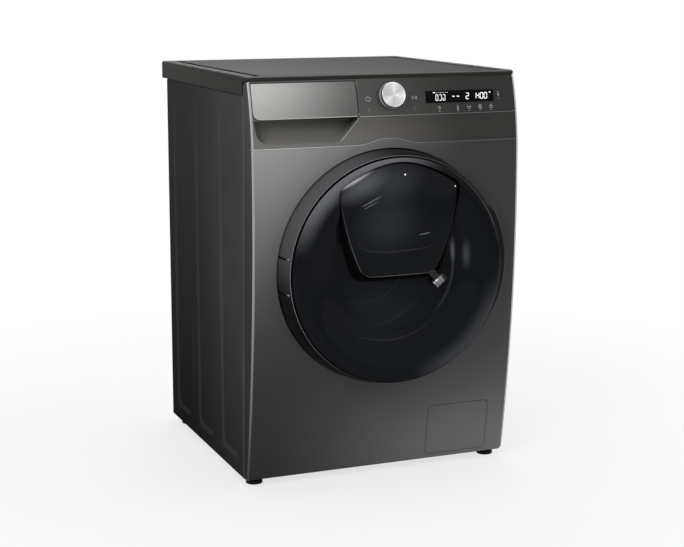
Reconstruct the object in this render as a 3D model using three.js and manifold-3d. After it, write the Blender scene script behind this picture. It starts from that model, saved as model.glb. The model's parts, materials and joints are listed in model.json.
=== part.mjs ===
// Front-load washing machine: cabinet, drawer, double door, sprung tub, drum and drive.
// Millimetres, +Z up, the door faces -Y. Distances called reach run forward, towards -Y.
import * as THREE from "three";
import { mergeVertices } from "three/addons/utils/BufferGeometryUtils.js";
import Module from "manifold-3d";

const wasm = await Module();
wasm.setup();

// ---- fits ----
const fit = 0.3; // between pieces that touch
const seam = 0.5; // between outer panels
const flapGap = 0.8; // round a flap or drawer front
const runningGap = 2; // round a door that swings

// ---- worktop ----
const bellyReach = 339;
const worktopWidth = 600;
const worktopOverhang = 2;
const halfCabinet = worktopWidth / 2 - worktopOverhang;
const worktopRear = 300;
const worktopReach = bellyReach - 28;
const totalHeight = 850;
const worktopSkirt = 38;
const worktopBorder = 10;
const worktopWall = 3;
const worktopRound = 4;
const worktopCorner = 14;
const boardInset = 27;
const boardThickness = 14.5;
const grooveWidth = 6;
const grooveDepth = 5;
const shelfWidth = 16;
const shelfThickness = 4;

// ---- cabinet ----
const cabinetRear = 258;
const cabinetBottom = 15;
const sheet = 1.2;
const flange = 14;
const pressingWidth = 125;
const pressingPitch = 169.5;
const pressingDepth = 3;
const pressingCorner = 28;
const pressingBottom = 46;
const pressingTop = totalHeight - 73;
const sideEdgeTopReach = bellyReach - 45;
const sideEdgeFootReach = bellyReach - 65;
const springTabWidth = 22;
const springTabThickness = 3;
const springTabDrop = 24;

// ---- bulged front ----
const bellyHeight = 600;
const bellyRadius = 3280;
const browRadius = 610;
const frontEdgeRound = 9;
const frontFootRound = 12;
const frontBottom = 13;
const seamHeight = totalHeight - 143;
const browHeight = seamHeight - 17;
const seamRise = 12;
const seamRiseWidth = 150;
const fasciaWall = 2.5;

// ---- control fascia ----
const drawerLeft = -halfCabinet + 9;
const drawerRight = -65;
const drawerLow = totalHeight - 85;
const drawerTopStrip = 4;
const drawerFrontRound = 10;
const drawerFrontDepth = 30;
const gripBottom = drawerLow - 49;
const gripSlope = 15;
const gripDiagonal = 43;
const gripDepth = 28;
const gripRound = 20;
const knobX = 8;
const knobHeight = totalHeight - 46;
const knobRadius = 26;
const knobLength = 19;
const knobSkirtRadius = 27.5;
const knobSkirtLength = 6;
const knobShaftRadius = 3;
const displayLeft = halfCabinet - 212;
const displayWidth = 157;
const displayLow = totalHeight - 63;
const displayHeight = 25;
const displayThickness = 4;
const boardWidth = 190;
const boardHeight = 46;
const circuitThickness = 1.6;
const encoderDepth = 5;
const encoderSide = 13;

// ---- detergent drawer ----
const housingWall = 2;
const housingRearReach = 40;
const housingSideRoom = 3;
const trayWall = 2;
const trayHeight = 52;
const trayRearRoom = 18;
const capHeight = 30;
const capRadius = 9;

// ---- main door ----
const coverCrestReach = bellyReach + 55;
const doorRingReach = coverCrestReach - 9;
const doorHeight = 455;
const doorRingRadius = 243.5;
const doorRingTaper = 8.5;
const doorRingWall = 3;
const doorRecessReach = bellyReach - 27;
const doorBackReach = doorRecessReach + 2;
const ringLipWidth = 6.5;
const coverWall = 4;
const coverDish = 23;
const coverDishRadius = 120;
const handleRise = 13.5;
const handleReach = doorRingReach - 5;
const handleBackReach = bellyReach + 13;
const innerFrameThickness = 3;
const portholeRadius = 172;
const bowlRadius = 165;
const bowlBackRadius = 142;
const bowlBackReach = bellyReach - 113;
const bowlFlange = 26;
const bowlWall = 4;
const hingePinX = -(doorRingRadius - 15);
const hingePinReach = doorRingReach - 20;
const hingePinRadius = 3;
const hingeEarWidth = 10;
const hingeEarThickness = 4;
const hingeEarSpread = 36;
const hingePlateHeight = 150;
const hookX = 212;
const hookPivotReach = doorRecessReach + 16;
const hookTipReach = doorRecessReach - 21;
const hookThickness = 6;
const hookHeight = 14;
const hookPinRadius = 2;
const hookEarWidth = 12;
const hookEarThickness = 5;

// ---- small door in the main door ----
const smallTopWidth = 266;
const smallBottomWidth = 166;
const smallWaistWidth = 242;
const smallLow = 445;
const smallShoulder = 622;
const smallPeak = 676;
const smallWaistHeight = 550;
const smallTopRound = 20;
const smallBottomRound = 25;
const smallDoorReach = coverCrestReach + 5.5;
const smallDoorBackReach = smallDoorReach - 27;
const smallDomeRadius = 900;
const smallDoorWall = 3.5;
const smallPocketReach = smallDoorBackReach - 2.5;
const smallPocketWall = 2.5;
const chuteInset = 27;
const chuteWall = 3;
const plugDepth = 20;
const plugGap = 6;
const smallHingeX = 93;
const smallHingeHeight = 427;
const smallHingeReach = coverCrestReach - 13;
const smallHingeTilt = 41;
const smallBarrelRadius = 6.2;
const smallBarrelLength = 22;
const smallEarThickness = 4;
const smallPinRadius = 2;

// ---- drum and tub ----
const drumRadius = halfCabinet - 53;
const drumFrontReach = bellyReach - 131;
const drumBack = 150;
const drumWall = 1.5;
const drumMouthRadius = 182;
const lifterCount = 3;
const lifterHeight = 46;
const lifterWidth = 74;
const lifterTip = 12;
const lifterWall = 2;
const lifterEndRoom = 24;
const tubGap = 25;
const tubWall = 3;
const tubFrontReach = bellyReach - 104;
const tubSplit = -20;
const tubBack = 199;
const tubFlange = 8;
const tubHubRadius = 40;
const tubHubLength = 32;
const tubMouthRadius = 176;
const shaftRadius = 12.5;
const bearingRadius = 26;
const bearingWidth = 12;
const spiderThickness = 17;
const spiderArmWidth = 34;
const pulleyRadius = 140;
const pulleyWidth = 20;
const pulleyStart = 212;
const beltThickness = 4;
const beltSlack = 0.8;
const motorX = 60;
const motorHeight = 112;
const motorRadius = 58;
const motorLength = 100;
const motorPulleyRadius = 14;
const motorShaftRadius = 7;
const weightInner = drumRadius - 50;
const weightOuter = drumRadius + 17;
const weightThickness = 42;
const weightSpan = 110;
const gasketWall = 3;
const gasketRadius = 184;
const heaterTubeRadius = 4;
const heaterSpacing = 60;
const heaterLength = 165;
const springRadius = 11;
const springWire = 3;
const springTurns = 6;
const springX = halfCabinet - 58;
const springY = 20;
const damperX = halfCabinet - 83;
const damperY = 60;
const damperRadius = 15;
const damperRodRadius = 6;
const damperTop = 165;
const damperRodFoot = 60;

// ---- base, feet and water parts ----
const panWall = 3;
const panHeight = 44;
const panFrontReach = sideEdgeFootReach - 12;
const footX = halfCabinet - 28;
const footFrontReach = panFrontReach - 6;
const footRear = 215;
const footRadius = 17.5;
const footHeight = 8.5;
const stemRadius = 5;
const stemLength = 38;
const nutRadius = 9.5;
const nutHeight = 5;
const footBossRadius = 13;
const footBossHeight = 26;
const hatchRight = halfCabinet - 47;
const hatchLeft = hatchRight - 144;
const hatchLow = 25;
const hatchTop = 138;
const hatchRound = 13;
const hatchThickness = 2.5;
const hatchPivotRise = 15;
const filterX = (hatchLeft + hatchRight) / 2 + 1;
const filterHeight = 80;
const filterRadius = 32;
const filterPlugRadius = 27;
const filterCapRadius = 30;
const filterCapReach = bellyReach - 53;
const filterCapThickness = 11;
const pumpRadius = 42;
const pumpMotorRadius = 28;
const inletX = -halfCabinet + 68;
const inletHeight = totalHeight - 80;
const inletRadius = 10;
const spigotLength = 24;
const outletX = halfCabinet - 73;
const outletHeight = totalHeight - 105;
const outletRadius = 11;
const glandX = halfCabinet - 43;
const glandHeight = 640;
const glandRadius = 8;
const serviceWidth = 360;
const serviceHeight = 420;
const serviceCentre = 440;
const serviceDepth = 6;
const hoseRadius = 14;

// ---- facets round a turn ----
const doorSides = 40;
const tubSides = 24;
const barSides = 12;
const arcSteps = 3;
const browSteps = 6;
const bellySteps = 6;

// ---- places worked out from the sizes ----
const fasciaTop = totalHeight - worktopBorder - fit;
const skirtLow = totalHeight - worktopSkirt;
const sideTop = skirtLow - fit;
const rearPanelBack = cabinetRear - sheet - fit;
const rearPanelFront = rearPanelBack - sheet;
const tubInner = drumRadius + tubGap;
const tubOuter = tubInner + tubWall;
const drawerTop = fasciaTop - drawerTopStrip;
const recessRadius = doorRingRadius + runningGap;
const coverRadius = doorRingRadius - doorRingTaper - 1.5;
const panLow = cabinetBottom + sheet + fit;
const pumpFront = -filterCapReach + filterCapThickness + fit;
const frameShift = (smallDoorReach - worktopRear) / 2;

// ---- shape helpers ----
function signedVolume(geometry) {
  const p = geometry.attributes.position;
  const index = geometry.index;
  const a = new THREE.Vector3();
  const b = new THREE.Vector3();
  const c = new THREE.Vector3();
  let volume = 0;
  for (let i = 0; i < index.count; i += 3) {
    a.fromBufferAttribute(p, index.getX(i));
    b.fromBufferAttribute(p, index.getX(i + 1));
    c.fromBufferAttribute(p, index.getX(i + 2));
    volume += a.dot(b.cross(c));
  }
  return volume;
}

function closed(geometry) {
  const bare = geometry.clone();
  bare.deleteAttribute("normal");
  bare.deleteAttribute("uv");
  const merged = mergeVertices(bare, 1e-4);
  if (signedVolume(merged) < 0) {
    const faces = merged.index.array;
    for (let i = 0; i < faces.length; i += 3) {
      [faces[i], faces[i + 1]] = [faces[i + 1], faces[i]];
    }
  }
  return merged;
}

function solidOf(geometry) {
  const body = closed(geometry);
  return new wasm.Manifold(new wasm.Mesh({
    numProp: 3,
    vertProperties: new Float32Array(body.attributes.position.array),
    triVerts: new Uint32Array(body.index.array),
  }));
}

function geometryOf(solid) {
  const mesh = solid.getMesh();
  const geometry = new THREE.BufferGeometry();
  geometry.setAttribute("position", new THREE.BufferAttribute(mesh.vertProperties, 3));
  geometry.setIndex(new THREE.BufferAttribute(mesh.triVerts, 1));
  return geometry;
}

function combine(operation, first, rest) {
  return geometryOf(rest.reduce((sum, geometry) => sum[operation](solidOf(geometry)), solidOf(first)));
}

const join = (first, ...rest) => combine("add", first, rest);
const cut = (first, ...rest) => combine("subtract", first, rest);
const common = (first, ...rest) => combine("intersect", first, rest);

// A faceted hole that clears a round bar of this radius as it turns.
const roundHole = (radius) => (radius + fit) / Math.cos(Math.PI / barSides);

const moved = (geometry, x, y, z) => geometry.clone().translate(x, y, z);

function block(x0, x1, y0, y1, z0, z1) {
  const box = new THREE.BoxGeometry(Math.abs(x1 - x0), Math.abs(y1 - y0), Math.abs(z1 - z0));
  return box.translate((x0 + x1) / 2, (y0 + y1) / 2, (z0 + z1) / 2);
}

// A round bar along Y between two places, at x and z.
function barY(radius, y0, y1, x, z, sides = barSides) {
  const bar = new THREE.CylinderGeometry(radius, radius, Math.abs(y1 - y0), sides);
  return bar.translate(x, (y0 + y1) / 2, z);
}

// A round bar along Z between two heights.
function barZ(radius, z0, z1, x, y, sides = barSides) {
  const bar = new THREE.CylinderGeometry(radius, radius, Math.abs(z1 - z0), sides);
  return bar.rotateX(Math.PI / 2).translate(x, y, (z0 + z1) / 2);
}

// A body of revolution about the drum axis; the profile is a closed ring of [radius, y].
function turned(profile, sides = doorSides) {
  const points = profile.map(([radius, y]) => new THREE.Vector2(radius, y));
  if (profile[0][0] > 0 || profile[profile.length - 1][0] > 0) {
    points.push(points[0].clone());
  }
  return new THREE.LatheGeometry(points, sides).translate(0, 0, doorHeight);
}

// An outline in X and Z, given thickness along Y from the near reach back to y1.
function frontPlate(outline, y0, y1, bevel = 0, steps = 2) {
  const depth = Math.abs(y1 - y0) - 2 * bevel;
  const plate = new THREE.ExtrudeGeometry(outline, {
    depth, bevelEnabled: bevel > 0, bevelSize: bevel, bevelThickness: bevel, bevelOffset: -bevel,
    bevelSegments: steps, curveSegments: arcSteps,
  });
  return plate.rotateX(Math.PI / 2).translate(0, Math.max(y0, y1) - bevel, 0);
}

// An outline in Y and Z, given width along X.
function sidePlate(outline, x0, x1, bevel = 0, steps = 2) {
  const depth = Math.abs(x1 - x0) - 2 * bevel;
  const plate = new THREE.ExtrudeGeometry(outline, {
    depth, bevelEnabled: bevel > 0, bevelSize: bevel, bevelThickness: bevel, bevelOffset: -bevel,
    bevelSegments: steps, curveSegments: arcSteps,
  });
  const turn = new THREE.Matrix4().makeBasis(
    new THREE.Vector3(0, 1, 0), new THREE.Vector3(0, 0, 1), new THREE.Vector3(1, 0, 0));
  return plate.applyMatrix4(turn).translate(Math.min(x0, x1) + bevel, 0, 0);
}

// An outline in X and Y, given height along Z.
function floorPlate(outline, z0, z1, bevel = 0, steps = 2) {
  const depth = Math.abs(z1 - z0) - 2 * bevel;
  const plate = new THREE.ExtrudeGeometry(outline, {
    depth, bevelEnabled: bevel > 0, bevelSize: bevel, bevelThickness: bevel, bevelOffset: -bevel,
    bevelSegments: steps, curveSegments: arcSteps,
  });
  return plate.translate(0, 0, Math.min(z0, z1) + bevel);
}

function roundedRect(x0, x1, y0, y1, radius) {
  const shape = new THREE.Shape();
  shape.moveTo(x0 + radius, y0);
  shape.lineTo(x1 - radius, y0);
  shape.absarc(x1 - radius, y0 + radius, radius, -Math.PI / 2, 0);
  shape.lineTo(x1, y1 - radius);
  shape.absarc(x1 - radius, y1 - radius, radius, 0, Math.PI / 2);
  shape.lineTo(x0 + radius, y1);
  shape.absarc(x0 + radius, y1 - radius, radius, Math.PI / 2, Math.PI);
  shape.lineTo(x0, y0 + radius);
  shape.absarc(x0 + radius, y0 + radius, radius, Math.PI, Math.PI * 1.5);
  return shape;
}

// A polygon whose corners are rounded; each corner is [x, y, radius].
function roundedOutline(corners) {
  const shape = new THREE.Shape();
  const count = corners.length;
  corners.forEach(([x, y, radius], i) => {
    const here = new THREE.Vector2(x, y);
    const before = new THREE.Vector2(...corners[(i + count - 1) % count]);
    const after = new THREE.Vector2(...corners[(i + 1) % count]);
    const back = before.clone().sub(here).normalize();
    const ahead = after.clone().sub(here).normalize();
    const half = Math.acos(back.dot(ahead)) / 2;
    const reach = radius / Math.tan(half);
    const start = here.clone().addScaledVector(back, reach);
    const end = here.clone().addScaledVector(ahead, reach);
    if (i === 0) {
      shape.moveTo(start.x, start.y);
    } else {
      shape.lineTo(start.x, start.y);
    }
    if (radius > 0) {
      shape.quadraticCurveTo(x, y, end.x, end.y);
    }
  });
  shape.closePath();
  return shape;
}

const polygon = (points) => new THREE.Shape(points.map(([x, y]) => new THREE.Vector2(x, y)));

// ---- the bulged front, shared by the fascia, drawer front, front panel and hatch ----
function skinReach(z) {
  const brow = Math.max(0, z - browHeight);
  return bellyReach - (z - bellyHeight) ** 2 / (2 * bellyRadius) - brow ** 2 / (2 * browRadius);
}

function sideEdgeReach(z) {
  const share = Math.min(1, (z - cabinetBottom) / (seamHeight - cabinetBottom));
  return sideEdgeFootReach + (sideEdgeTopReach - sideEdgeFootReach) * share;
}

// The whole front as a block, inset all round from its outer skin.
function skinBlock(inset, backReach = 200) {
  const low = frontBottom + inset;
  const top = fasciaTop - inset;
  const foot = frontFootRound - inset;
  const points = [[-backReach, top]];
  const addSkin = (from, to, steps) => {
    for (let i = 0; i < steps; i++) {
      const z = from + (to - from) * i / steps;
      points.push([-(skinReach(z) - inset), z]);
    }
  };
  addSkin(top, browHeight, browSteps);
  addSkin(browHeight, low + foot, bellySteps);
  points.push([-(skinReach(low + foot) - inset), low + foot]);
  const heelY = -(skinReach(low + foot) - inset) + foot;
  for (let i = 1; i <= 3; i++) {
    const angle = Math.PI + (Math.PI / 2) * i / 3;
    points.push([heelY + foot * Math.cos(angle), low + foot + foot * Math.sin(angle)]);
  }
  points.push([-backReach, low]);
  return sidePlate(polygon(points), -halfCabinet + inset, halfCabinet - inset, frontEdgeRound - inset, 3);
}

// Everything ahead of the side panels' front edges.
function aheadOfSides(gap) {
  const far = bellyReach + 60;
  return sidePlate(polygon([
    [-far, -20], [-(sideEdgeReach(cabinetBottom) + gap), -20],
    [-(sideEdgeReach(cabinetBottom) + gap), cabinetBottom],
    [-(sideEdgeReach(seamHeight) + gap), seamHeight], [-(sideEdgeReach(seamHeight) + gap), totalHeight + 20],
    [-far, totalHeight + 20],
  ]), -worktopWidth, worktopWidth);
}

function skinShell(wall) {
  return common(cut(skinBlock(0), skinBlock(wall, 150)), aheadOfSides(seam));
}

// The region above the seam between panel and fascia, which rises over the door.
function aboveSeam(gap) {
  const z = seamHeight + gap;
  const half = seamRiseWidth / 2;
  const shape = new THREE.Shape();
  shape.moveTo(-worktopWidth, z);
  shape.lineTo(-half, z);
  shape.bezierCurveTo(-half / 2, z, -half / 2, z + seamRise, 0, z + seamRise);
  shape.bezierCurveTo(half / 2, z + seamRise, half / 2, z, half, z);
  shape.lineTo(worktopWidth, z);
  shape.lineTo(worktopWidth, totalHeight + 50);
  shape.lineTo(-worktopWidth, totalHeight + 50);
  return frontPlate(shape, -bellyReach - 60, -100);
}

// ---- worktop ----
function worktopOutline(inset) {
  const half = worktopWidth / 2;
  const radius = Math.max(2, worktopCorner - inset / 2);
  return roundedRect(-half + inset, half - inset, -worktopReach + inset, worktopRear - inset, radius);
}

function worktopFrame() {
  const boardLow = totalHeight - boardThickness;
  const slab = cut(
    floorPlate(worktopOutline(0), skirtLow - worktopRound, totalHeight, worktopRound),
    block(-worktopWidth, worktopWidth, -worktopWidth, worktopWidth, skirtLow - 20, skirtLow));
  return cut(slab,
    floorPlate(worktopOutline(boardInset), boardLow - fit, totalHeight + 1),
    floorPlate(worktopOutline(boardInset + shelfWidth), skirtLow - 10, totalHeight + 1),
    floorPlate(worktopOutline(worktopWall), skirtLow - 10, boardLow - fit - shelfThickness),
    block(-worktopWidth, worktopWidth, -worktopWidth, -sideEdgeTopReach + fit, skirtLow - 10,
      fasciaTop + fit));
}

function worktopBoard() {
  return join(
    floorPlate(worktopOutline(boardInset + fit), totalHeight - boardThickness, totalHeight - grooveDepth),
    floorPlate(worktopOutline(boardInset + grooveWidth), totalHeight - boardThickness + 1, totalHeight));
}

// ---- side and rear sheets ----
function sideOutline(inset) {
  return polygon([
    [cabinetRear - inset, cabinetBottom + inset], [cabinetRear - inset, sideTop - inset],
    [-sideEdgeTopReach + inset, sideTop - inset], [-sideEdgeTopReach + inset, seamHeight],
    [-sideEdgeFootReach + inset, cabinetBottom + inset],
  ]);
}

// The left panel, folded in all round; the right one is its mirror image.
function sidePanel() {
  const outer = -halfCabinet;
  let panel = join(
    cut(sidePlate(sideOutline(0), outer, outer + flange),
      sidePlate(sideOutline(sheet), outer + sheet, outer + flange + 5)),
    block(outer + sheet / 2, -springX + springRadius, springY - springTabWidth / 2,
      springY + springTabWidth / 2, sideTop - springTabDrop, sideTop - springTabDrop + springTabThickness));
  const middle = (cabinetRear - sideEdgeTopReach) / 2;
  const half = pressingWidth / 2;
  for (const step of [-1, 0, 1]) {
    const y = middle + step * pressingPitch;
    const pressing = (inset) => roundedRect(y - half + inset, y + half - inset, pressingBottom + inset,
      pressingTop - inset, pressingCorner - inset);
    panel = cut(
      join(panel, sidePlate(pressing(0), outer + sheet / 2, outer + sheet + pressingDepth)),
      sidePlate(pressing(sheet + 1.5), outer - 5, outer + pressingDepth));
  }
  return panel;
}

function rearPanel() {
  const side = halfCabinet - sheet - fit;
  const hole = (radius, x, z) => barY(radius + fit, rearPanelFront - 5, rearPanelBack + 5, x, z);
  return cut(
    block(-side, side, rearPanelFront, rearPanelBack, cabinetBottom + sheet + fit, sideTop - sheet - fit),
    hole(inletRadius, inletX, inletHeight), hole(outletRadius, outletX, outletHeight),
    hole(glandRadius, glandX, glandHeight));
}

function rearCover() {
  const half = serviceWidth / 2;
  const low = serviceCentre - serviceHeight / 2;
  const high = serviceCentre + serviceHeight / 2;
  const plateBack = rearPanelBack + fit + sheet;
  const raised = (inset) => roundedRect(-half + 30 + inset, half - 30 - inset, low + 30 + inset,
    high - 30 - inset, 24);
  return cut(
    join(
      frontPlate(roundedRect(-half, half, low, high, 12), rearPanelBack + fit, plateBack),
      frontPlate(raised(0), rearPanelBack + fit, plateBack + serviceDepth)),
    frontPlate(raised(sheet), rearPanelBack - 5, plateBack + serviceDepth - sheet));
}

function basePan() {
  const side = halfCabinet - pressingDepth - sheet - fit;
  const rear = rearPanelFront - fit;
  const floorTop = panLow + panWall;
  let pan = cut(
    block(-side, side, -panFrontReach, rear, panLow, panLow + panHeight),
    block(-side + panWall, side - panWall, -panFrontReach + panWall, rear - panWall, floorTop,
      panLow + panHeight + 5));
  for (const x of [-footX, footX]) {
    for (const y of [-footFrontReach, footRear]) {
      pan = join(pan, barZ(footBossRadius, panLow, panLow + footBossHeight, x, y));
    }
  }
  for (const x of [-footX, footX]) {
    for (const y of [-footFrontReach, footRear]) {
      pan = cut(pan, barZ(stemRadius + fit, panLow - 5, panLow + footBossHeight + 5, x, y));
    }
  }
  return cut(pan, barY(filterRadius + 7, -panFrontReach - 5, -panFrontReach + panWall + 5, filterX,
    filterHeight));
}

// ---- bulged front pieces ----
function hatchOutline(gap) {
  return roundedRect(hatchLeft + gap, hatchRight - gap, hatchLow + gap, hatchTop - gap, hatchRound - gap);
}

function hookSlot(gap) {
  return block(hookX - 15 - gap, hookX + 12 + gap, -doorRecessReach - 10, -doorRecessReach + 10,
    doorHeight - hookHeight / 2 - 4 - gap, doorHeight + hookHeight / 2 + 4 + gap);
}

function earSlot(side, gap) {
  const z = doorHeight + side * hingeEarSpread;
  const half = hingeEarThickness / 2 + gap;
  return block(hingePinX - hingeEarWidth / 2 - gap, hingePinX + hingeEarWidth / 2 + gap,
    -doorRecessReach - 10, -doorRecessReach + 10, z - half, z + half);
}

function frontPanel() {
  const floorBack = -doorRecessReach + sheet;
  const cup = common(
    barY(recessRadius + sheet, -bellyReach - 40, floorBack, 0, doorHeight, doorSides),
    skinBlock(0));
  const panel = cut(join(skinShell(sheet), cup),
    barY(recessRadius, -bellyReach - 50, -doorRecessReach, 0, doorHeight, doorSides),
    barY(portholeRadius, -bellyReach - 50, floorBack + 20, 0, doorHeight, doorSides),
    aboveSeam(-seam / 2),
    frontPlate(hatchOutline(0), -bellyReach, -sideEdgeFootReach + 4),
    hookSlot(0), earSlot(-1, 0.7), earSlot(1, 0.7));
  return panel;
}

function hatchCover() {
  const inside = -skinReach(hatchLow) + hatchThickness;
  const pivot = hatchLow + hatchPivotRise;
  const face = -skinReach(pivot) + hatchThickness;
  const tab = (x) => join(
    block(x, x + 16, face - 1, inside + 3, pivot - 1, pivot + 4),
    block(x, x + 16, inside + 1, inside + 3, hatchLow - 3, pivot));
  const cover = common(skinShell(hatchThickness), frontPlate(hatchOutline(flapGap), -bellyReach, -200));
  return join(cover, tab(hatchLeft + 16), tab(hatchRight - 32));
}

function drawerOutline(gap, top = drawerTop) {
  return roundedOutline([
    [drawerLeft - gap, drawerLow - gap, drawerFrontRound], [drawerRight + gap, drawerLow - gap, 2],
    [drawerRight - 2 + gap, top + gap, 2], [drawerLeft - gap, top + gap, 2],
  ]);
}

// The finger scoop under the drawer front; grow thickens it into its own wall.
function gripScoop(grow) {
  const low = gripBottom - grow;
  const high = drawerLow - flapGap + grow;
  const outline = roundedOutline([
    [drawerLeft + gripSlope - grow, low, gripRound], [drawerRight - gripDiagonal + grow, low, 6],
    [drawerRight + grow, high, 1], [drawerLeft - grow, high, 1],
  ]);
  const front = -bellyReach - 20;
  const deep = -skinReach(drawerLow) + gripDepth + grow;
  const lip = -skinReach(gripBottom) + 1;
  const section = new THREE.Shape();
  section.moveTo(front, low);
  section.lineTo(lip, low);
  section.quadraticCurveTo(deep, low + 4, deep, high);
  section.lineTo(front, high);
  return common(frontPlate(outline, front, -200), sidePlate(section, drawerLeft - 20, drawerRight + 20));
}

const skinTilt = () => Math.atan((skinReach(knobHeight - 10) - skinReach(knobHeight + 10)) / 20);

function displayBlock(gap) {
  return roundedRect(displayLeft + gap, displayLeft + displayWidth - gap, displayLow + gap,
    displayLow + displayHeight - gap, 2.5);
}

function controlFascia() {
  const scoopWall = common(gripScoop(fasciaWall), skinBlock(0));
  return cut(join(common(skinShell(fasciaWall), aboveSeam(seam / 2)), common(scoopWall, aboveSeam(seam / 2))),
    gripScoop(0),
    frontPlate(drawerOutline(flapGap), -bellyReach - 20, -200),
    frontPlate(displayBlock(0), -bellyReach - 20, -200),
    barY(knobShaftRadius + 1.5, -bellyReach - 20, -200, knobX, knobHeight));
}

function displayWindow() {
  return common(cut(skinBlock(0.2), skinBlock(displayThickness)),
    frontPlate(displayBlock(fit), -bellyReach - 20, -200));
}

function drawerFront() {
  const back = -skinReach(drawerLow) + drawerFrontDepth;
  return cut(
    common(skinBlock(0), frontPlate(drawerOutline(0), -bellyReach - 20, back)),
    common(skinBlock(fasciaWall), frontPlate(drawerOutline(-fasciaWall), -bellyReach - 20, back + 5)));
}

// ---- drawer and its housing ----
const housingLeft = -halfCabinet + flange + fit;
const housingRight = drawerRight + flapGap - 3;
const housingFront = -skinReach(drawerLow) + drawerFrontDepth + fit;
const housingLow = drawerLow - flapGap + fasciaWall + fit;
const housingTop = totalHeight - boardThickness - fit - shelfThickness - fit;
const trayLeft = housingLeft + housingWall + housingSideRoom;
const trayRight = housingRight - housingWall - housingSideRoom;
const trayLow = housingLow + housingWall + fit;
const trayBack = -housingRearReach - housingWall - trayRearRoom;
const trayFront = -skinReach(drawerLow) + drawerFrontDepth + fit;
const softenerWall = trayLeft + (trayRight - trayLeft) * 0.62;
const mainWall = trayLeft + (trayRight - trayLeft) * 0.31;

function drawerHousing() {
  return cut(
    block(housingLeft, housingRight, housingFront, -housingRearReach, housingLow, housingTop),
    block(housingLeft + housingWall, housingRight - housingWall, housingFront - 5,
      -housingRearReach - housingWall, housingLow + housingWall, housingTop - housingWall));
}

function drawerTray() {
  const bay = (x0, x1) => block(x0 + trayWall / 2, x1 - trayWall / 2, trayFront + trayWall,
    trayBack - trayWall, trayLow + trayWall, trayLow + trayHeight + 5);
  return cut(
    block(trayLeft, trayRight, trayFront, trayBack, trayLow, trayLow + trayHeight),
    bay(trayLeft + trayWall / 2, mainWall), bay(mainWall, softenerWall),
    bay(softenerWall, trayRight - trayWall / 2));
}

function siphonCap() {
  const x = (softenerWall + trayRight) / 2;
  const y = trayBack - 32;
  const floor = trayLow + trayWall + fit;
  return join(
    barZ(capRadius, floor, floor + capHeight, x, y),
    block(x - 20, x + 20, y - 18, y + 18, floor + capHeight - 3, floor + capHeight));
}

// ---- knob, built on its own axis and tilted with the fascia ----
function selectorKnob() {
  const profile = [
    [0, -encoderDepth], [knobShaftRadius, -encoderDepth], [knobShaftRadius, 0.6],
    [knobSkirtRadius, 0.6], [knobSkirtRadius, knobSkirtLength - 1], [knobSkirtRadius - 1, knobSkirtLength],
    [knobRadius, knobSkirtLength], [knobRadius, knobLength - 1.5], [knobRadius - 1.5, knobLength],
    [0, knobLength],
  ];
  return new THREE.LatheGeometry(profile.map(([r, y]) => new THREE.Vector2(r, y)), 24);
}

function controlBoard() {
  const left = knobX - encoderSide - 6;
  const half = encoderSide / 2;
  return cut(
    join(
      block(left, displayLeft + boardWidth, -circuitThickness, 0, -boardHeight / 2, boardHeight / 2),
      block(knobX - half, knobX + half, -encoderDepth, 0, -half, half)),
    barY(knobShaftRadius + fit, -encoderDepth - 5, 5, knobX, 0));
}

// ---- main door ----
function ringOuter(grow) {
  const r = doorRingRadius + grow;
  const front = doorRingRadius - doorRingTaper + grow;
  const along = (share) => -doorBackReach - (doorRingReach - doorBackReach) * share;
  return [
    [r - 4.5, -doorBackReach], [r, along(0.1)], [r, along(0.41)], [r - 1.8, along(0.61)],
    [front + 2.4, along(0.86)], [front, -doorRingReach],
  ];
}

function hingeNotch(side) {
  const z = doorHeight + side * hingeEarSpread;
  const half = hingeEarThickness / 2 + 0.8;
  return block(-doorRingRadius - 10, hingePinX + hingeEarWidth / 2 + 0.8, -doorRingReach + 4.5,
    -doorRecessReach + 10, z - half, z + half);
}

// The grip: the ring swells outwards from a corner at the upper right and fades out lower down.
function handleOutline() {
  const from = THREE.MathUtils.degToRad(26);
  const to = THREE.MathUtils.degToRad(-46);
  const steps = 10;
  const points = [];
  for (let i = 0; i <= steps; i++) {
    const share = i / steps;
    const swell = Math.cos(share ** 1.5 * Math.PI / 2) ** 1.2;
    const angle = from + (to - from) * share;
    const r = doorRingRadius - 2 + (handleRise + 2) * swell;
    points.push([r * Math.cos(angle), doorHeight + r * Math.sin(angle)]);
  }
  for (let i = steps; i >= 0; i--) {
    const angle = from + (to - from) * i / steps;
    const r = doorRingRadius - doorRingTaper;
    points.push([r * Math.cos(angle), doorHeight + r * Math.sin(angle)]);
  }
  return polygon(points);
}

function doorRing() {
  const outer = ringOuter(0);
  const inner = ringOuter(-doorRingWall).reverse();
  const lipFront = -doorRingReach + 1 + coverWall + fit;
  const lipBack = lipFront + doorRingWall;
  const lipRadius = coverRadius - ringLipWidth;
  const shell = turned([...outer, [coverRadius + fit, -doorRingReach + 0.5],
    [coverRadius + fit, lipFront], ...inner.slice(1)]);
  const lip = turned([[lipRadius, lipFront], [coverRadius + 2, lipFront], [coverRadius + 2, lipBack],
    [lipRadius, lipBack]]);
  const grip = cut(
    frontPlate(handleOutline(), -handleReach, -handleBackReach, 2.5, 2),
    turned([[0, -handleReach - 20], [doorRingRadius - 4, -handleReach - 20],
      [doorRingRadius - 4, -handleBackReach + 20], [0, -handleBackReach + 20]]));
  return cut(join(shell, lip, grip), hingeNotch(-1), hingeNotch(1));
}

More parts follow.
